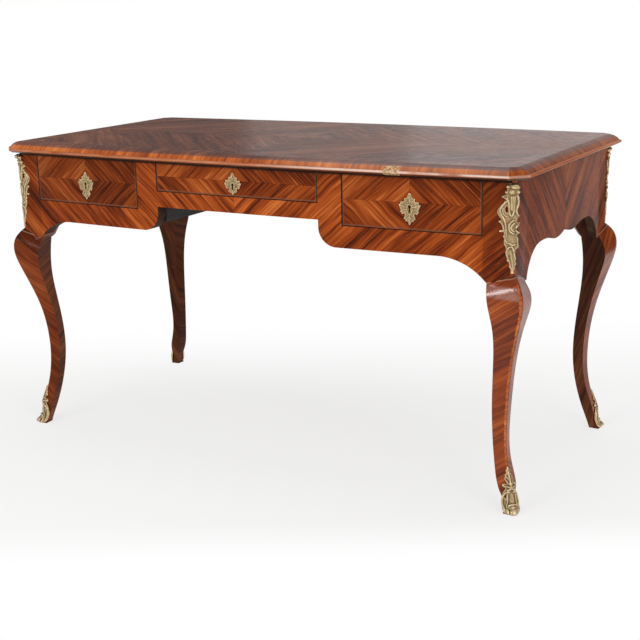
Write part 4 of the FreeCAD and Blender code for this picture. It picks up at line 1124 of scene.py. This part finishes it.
# Escutcheons: set out about the keyhole
plateHalf = [
    (0.8, -40), (3.2, -35.5), (5, -31.6), (9, -32.6), (10, -28.4), (14, -27.6), (12.4, -23.6), (11, -20),
    (11.4, -16.4), (14, -14.4), (16.8, -17.4), (19, -14), (21.4, -11.4), (20.6, -6.4), (23, -2),
    (25.5, 3.4), (21, 7), (21.8, 11.2), (15.6, 10.4), (11.8, 12.4), (12.8, 17.6), (7.4, 18.8), (4.6, 22.6),
    (3.4, 27), (0.6, 30)]
plateRidges = [
    [(4, 8, 1.0), (8, 12.4, 1.1), (12, 16.4, 0.9, 1.8)],
    [(7, 3, 1.1), (14, 6.4, 1.2), (20.6, 10, 0.9, 1.8)],
    [(7.4, -1, 1.1), (16, 0.6, 1.3), (24, 3, 1.0, 1.8)],
    [(7.4, -6, 1.1), (15, -6, 1.2), (19.6, -11, 0.9, 1.8)],
    [(7, -10, 1.1), (13, -11.4, 1.1), (16.6, -16, 0.9, 1.8)],
    [(3, -18, 1.1), (8, -21.6, 1.2), (13, -26.6, 0.9, 1.8)],
    [(2, -23, 1.0), (5, -26, 1.1), (8.4, -31, 0.9, 1.8)]]
plateParts = dict(
    outlines=[mirroredOutline(plateHalf)], thick=2.2, voxel=0.5, reliefDepth=1.4, ridgeOut=2.0,
    ridges=mirrored(plateRidges) + [
        [(0, 10, 1.4, 2.4), (0, 20, 1.4, 2.4), (0, 28, 1.0, 1.8)],
        [(0, -17, 1.4, 2.4), (0, -28, 1.4, 2.4), (0.4, -38, 1.0, 1.8)]],
    knops=[
        (0, -5, 9, 15, 0, 3.0), (0, 14, 7, 9, 0, 2.8), (0, -24, 8, 10, 0, 2.8), (15, 1, 7, 8, 0, 2.6),
        (-15, 1, 7, 8, 0, 2.6)],
    rings=[(0, -5, 6.4, 11.8, 1.0, 2.4)])
keyhole = dict(radius=3.0, slot=3.4, drop=12.7, reach=40, steps=30, spare=0.3, wall=0.6)
plateScales = dict(left=(1, 1, 1), centre=(0.92, 0.97, 0.575), right=(1, 1, 1))
plateCasting = castMount("plateCasting", plateParts)


def keyCutter():
    # A round hole over a slot, one outline
    radius, side, drop = keyhole["radius"], keyhole["slot"] / 2, keyhole["drop"]
    start = math.asin(side / radius) - math.pi / 2
    turn = 2 * math.pi - 2 * math.asin(side / radius)
    angles = [start + turn * step / keyhole["steps"] for step in range(keyhole["steps"] + 1)]
    outline = [(radius * math.cos(angle), radius * math.sin(angle)) for angle in angles]
    castSheet([outline + [(-side, -drop), (side, -drop)]], keyhole["reach"])
    cutter = settled(location=(0, keyhole["reach"] / 2 * mm, 0))
    with editing("SELECT"):
        bpy.ops.mesh.remove_doubles(threshold=mergeGap["cut"])
        bpy.ops.mesh.normals_make_consistent(inside=False)
    return cutter


cutter = keyCutter()
for word in words:
    low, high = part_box(f"escutcheon_{word}")
    scaleU, scaleUp, scaleDown = plateScales[word]
    plate = linked(f"escutcheonPlate_{word}", plateCasting.data.copy())
    for vertex in plate.data.vertices:
        vertex.co.x *= scaleU
        vertex.co.z *= scaleUp if vertex.co.z > 0 else scaleDown
    cutAway(plate, cutter)
    plate.data.materials.append(keyholeDark)
    # the walls of the keyhole get the near-black painted shade
    for face in plate.data.polygons:   # the walls of the keyhole
        u, v = face.center.x / mm, face.center.z / mm
        inRound = math.hypot(u, v) < keyhole["radius"] + keyhole["spare"]
        inSlot = (abs(u) < keyhole["slot"] / 2 + keyhole["spare"]
                  and -keyhole["drop"] - keyhole["spare"] < v < 0)
        if (inRound or inSlot) and abs(face.normal.y) < keyhole["wall"]:
            face.material_index = 1
    middleX = (low.x + high.x) / 2
    keyZ = high.z - plateHalf[-1][1] * scaleUp * mm
    for vertex in plate.data.vertices:
        x = middleX + vertex.co.x
        vertex.co = (x, bowAt(x) + vertex.co.y, keyZ + vertex.co.z)
    smoothed(plate, 60)
    takesPlaceOf(plate, f"escutcheon_{word}", f"drawer_{word}")
for leftOver in (plateCasting, cutter):
    bpy.data.objects.remove(leftOver)
print("escutcheons done")

# Studio: a pale floor that runs out to white, and soft lights
floorLook = dict(size=600, tone=(0.27, 0.268, 0.266, 1), nearGlow=(0.69, 0.69, 0.69, 1),
                 backwards=(-0.498, 0.867, 0), fadeBack=(0.15, 1.1), fadeFront=(-0.62, -0.85), mottle=1.4,
                 mottleWeight=0.02, rough=0.7)


def makeFloor():
    look = floorLook
    only(nodes["top_core"])
    bpy.ops.mesh.primitive_plane_add(size=look["size"], location=(0, 0, 0))
    floor = bpy.context.object
    floor.name = "studioFloor"
    material = newMaterial("studioFloor")
    where, _ = placesOn(material)
    depth = vectorMath("DOT_PRODUCT", where, look["backwards"], "Value")
    far = ramp(depth, *look["fadeBack"]).most(ramp(depth, *look["fadeFront"]))
    tone = (noise(where, look["mottle"]) - 0.5) * look["mottleWeight"] + 1
    grey = Wire(place(where.tree, "ShaderNodeCombineColor", {0: tone, 1: tone, 2: tone}).outputs[0])
    color = blendColors(1, look["tone"], grey, "MULTIPLY")
    glow = {"Emission Color": blendColors(far, look["nearGlow"], (1, 1, 1, 1)), "Emission Strength": 1}
    floor.data.materials.append(dress(
        material, blendColors(far, color, (0, 0, 0, 1)), look["rough"], shine=0, extras=glow))


skyLook = dict(low=0.36, high=0.62, rise=(-0.1, 0.9), dimSide=(-0.70, 0.69, 0.19), dimRange=(0.72, 0.95),
               dim=0.3, horizon=(0.065, 0.04), color=(1, 0.99, 0.98, 1))


def makeSky():
    world = bpy.data.worlds.new("studioSky")
    bpy.context.scene.world = world
    world.use_nodes = True
    direction = Wire(place(world.node_tree, "ShaderNodeTexCoord").outputs["Generated"])
    height = split(direction)[2]
    level = blendValues(ramp(height, *skyLook["rise"]), skyLook["low"], skyLook["high"])
    toDim = vectorMath("DOT_PRODUCT", direction, skyLook["dimSide"], "Value")
    level = level * blendValues(ramp(toDim, *skyLook["dimRange"]), 1, skyLook["dim"])
    level = blendValues(ramp(height, *skyLook["horizon"]), level, 1)   # white along the horizon
    background = world.node_tree.nodes["Background"]
    background.inputs["Color"].default_value = skyLook["color"]
    plug(background.inputs["Strength"], level)


def addSoftbox(name, location, target, size, power, mirrors=True):
    light = bpy.data.lights.new(name, "AREA")
    light.shape = "RECTANGLE"
    light.size, light.size_y = size
    light.energy = power
    lamp = linked(name, light)
    lamp.location = location
    lamp.rotation_euler = (Vector(target) - Vector(location)).to_track_quat("-Z", "Y").to_euler()
    lamp.visible_camera = False
    lamp.visible_glossy = mirrors


flagLook = dict(low=(1.38, 2.0, 0.0), width=1.9, height=1.3, color=(0.06, 0.055, 0.05, 1), rough=0.9)


def addFlag():
    # A dark board beside the backdrop keeps the pale floor out of the front half of the side panel
    only(nodes["top_core"])
    bpy.ops.mesh.primitive_plane_add(size=1)
    flag = bpy.context.object
    flag.name = "studioFlag"
    lowX, lowY, lowZ = flagLook["low"]
    for vertex in flag.data.vertices:
        x, y, _ = vertex.co
        vertex.co = (lowX + (x + 0.5) * flagLook["width"], lowY, lowZ + (y + 0.5) * flagLook["height"])
    flag.data.materials.append(dress(newMaterial("studioFlag"), flagLook["color"], flagLook["rough"]))
    flag.visible_camera = False
    flag.visible_diffuse = False
    flag.visible_shadow = False


makeFloor()
makeSky()
# Each light has its place, its target, its size and its power. The low key light would mirror in the top as
# seen from behind, so the high spark light gives the glints.
addSoftbox("keyLight", (-0.75, -3.75, 1.35), (0.2, -0.3, 0.6), (1.6, 1.2), 31, mirrors=False)
for light in (("sparkLight", (-0.75, -3.75, 2.4), (0.2, -0.3, 0.6), (0.8, 0.8), 12),
              ("stripLight", (-2.5, -3.75, 1.55), (0.66, -0.35, 0.52), (1.0, 0.45), 13),
              ("fillLight", (3.2, -2.2, 2.2), (0.2, 0, 0.5), (1.6, 1.6), 33),
              ("topLight", (0, 0.2, 3.2), (0, 0, 0.78), (2.6, 1.8), 18),
              ("backPanel", (0.25, 2.0, 1.40), (0.25, 0, 1.05), (1.9, 1.1), 3.8),
              ("backPanelSoft", (-1.1, 2.0, 1.25), (-1.1, 0, 0.9), (0.8, 1.4), 0.9)):
    addSoftbox(*light)
addFlag()
bpy.context.scene.view_settings.view_transform = "Standard"

# Camera: the photograph's station, in front and to the right, looking down a little
view = dict(spot=(1.57669, -2.69992, 1.13457), yaw=29.8967, pitch=-15.0569, roll=-1.3115, lens=68.09,
            sensor=36)
camera = linked("photoCamera", bpy.data.cameras.new("photoCamera"))
camera.data.sensor_width = view["sensor"]
camera.data.lens = view["lens"]
camera.data.clip_end = 1000
camera.matrix_world = (Matrix.Translation(view["spot"]) @ Matrix.Rotation(math.radians(view["yaw"]), 4, "Z")
                       @ Matrix.Rotation(math.radians(90 + view["pitch"]), 4, "X")
                       @ Matrix.Rotation(math.radians(view["roll"]), 4, "Z"))
bpy.context.scene.camera = camera
print("studio done")
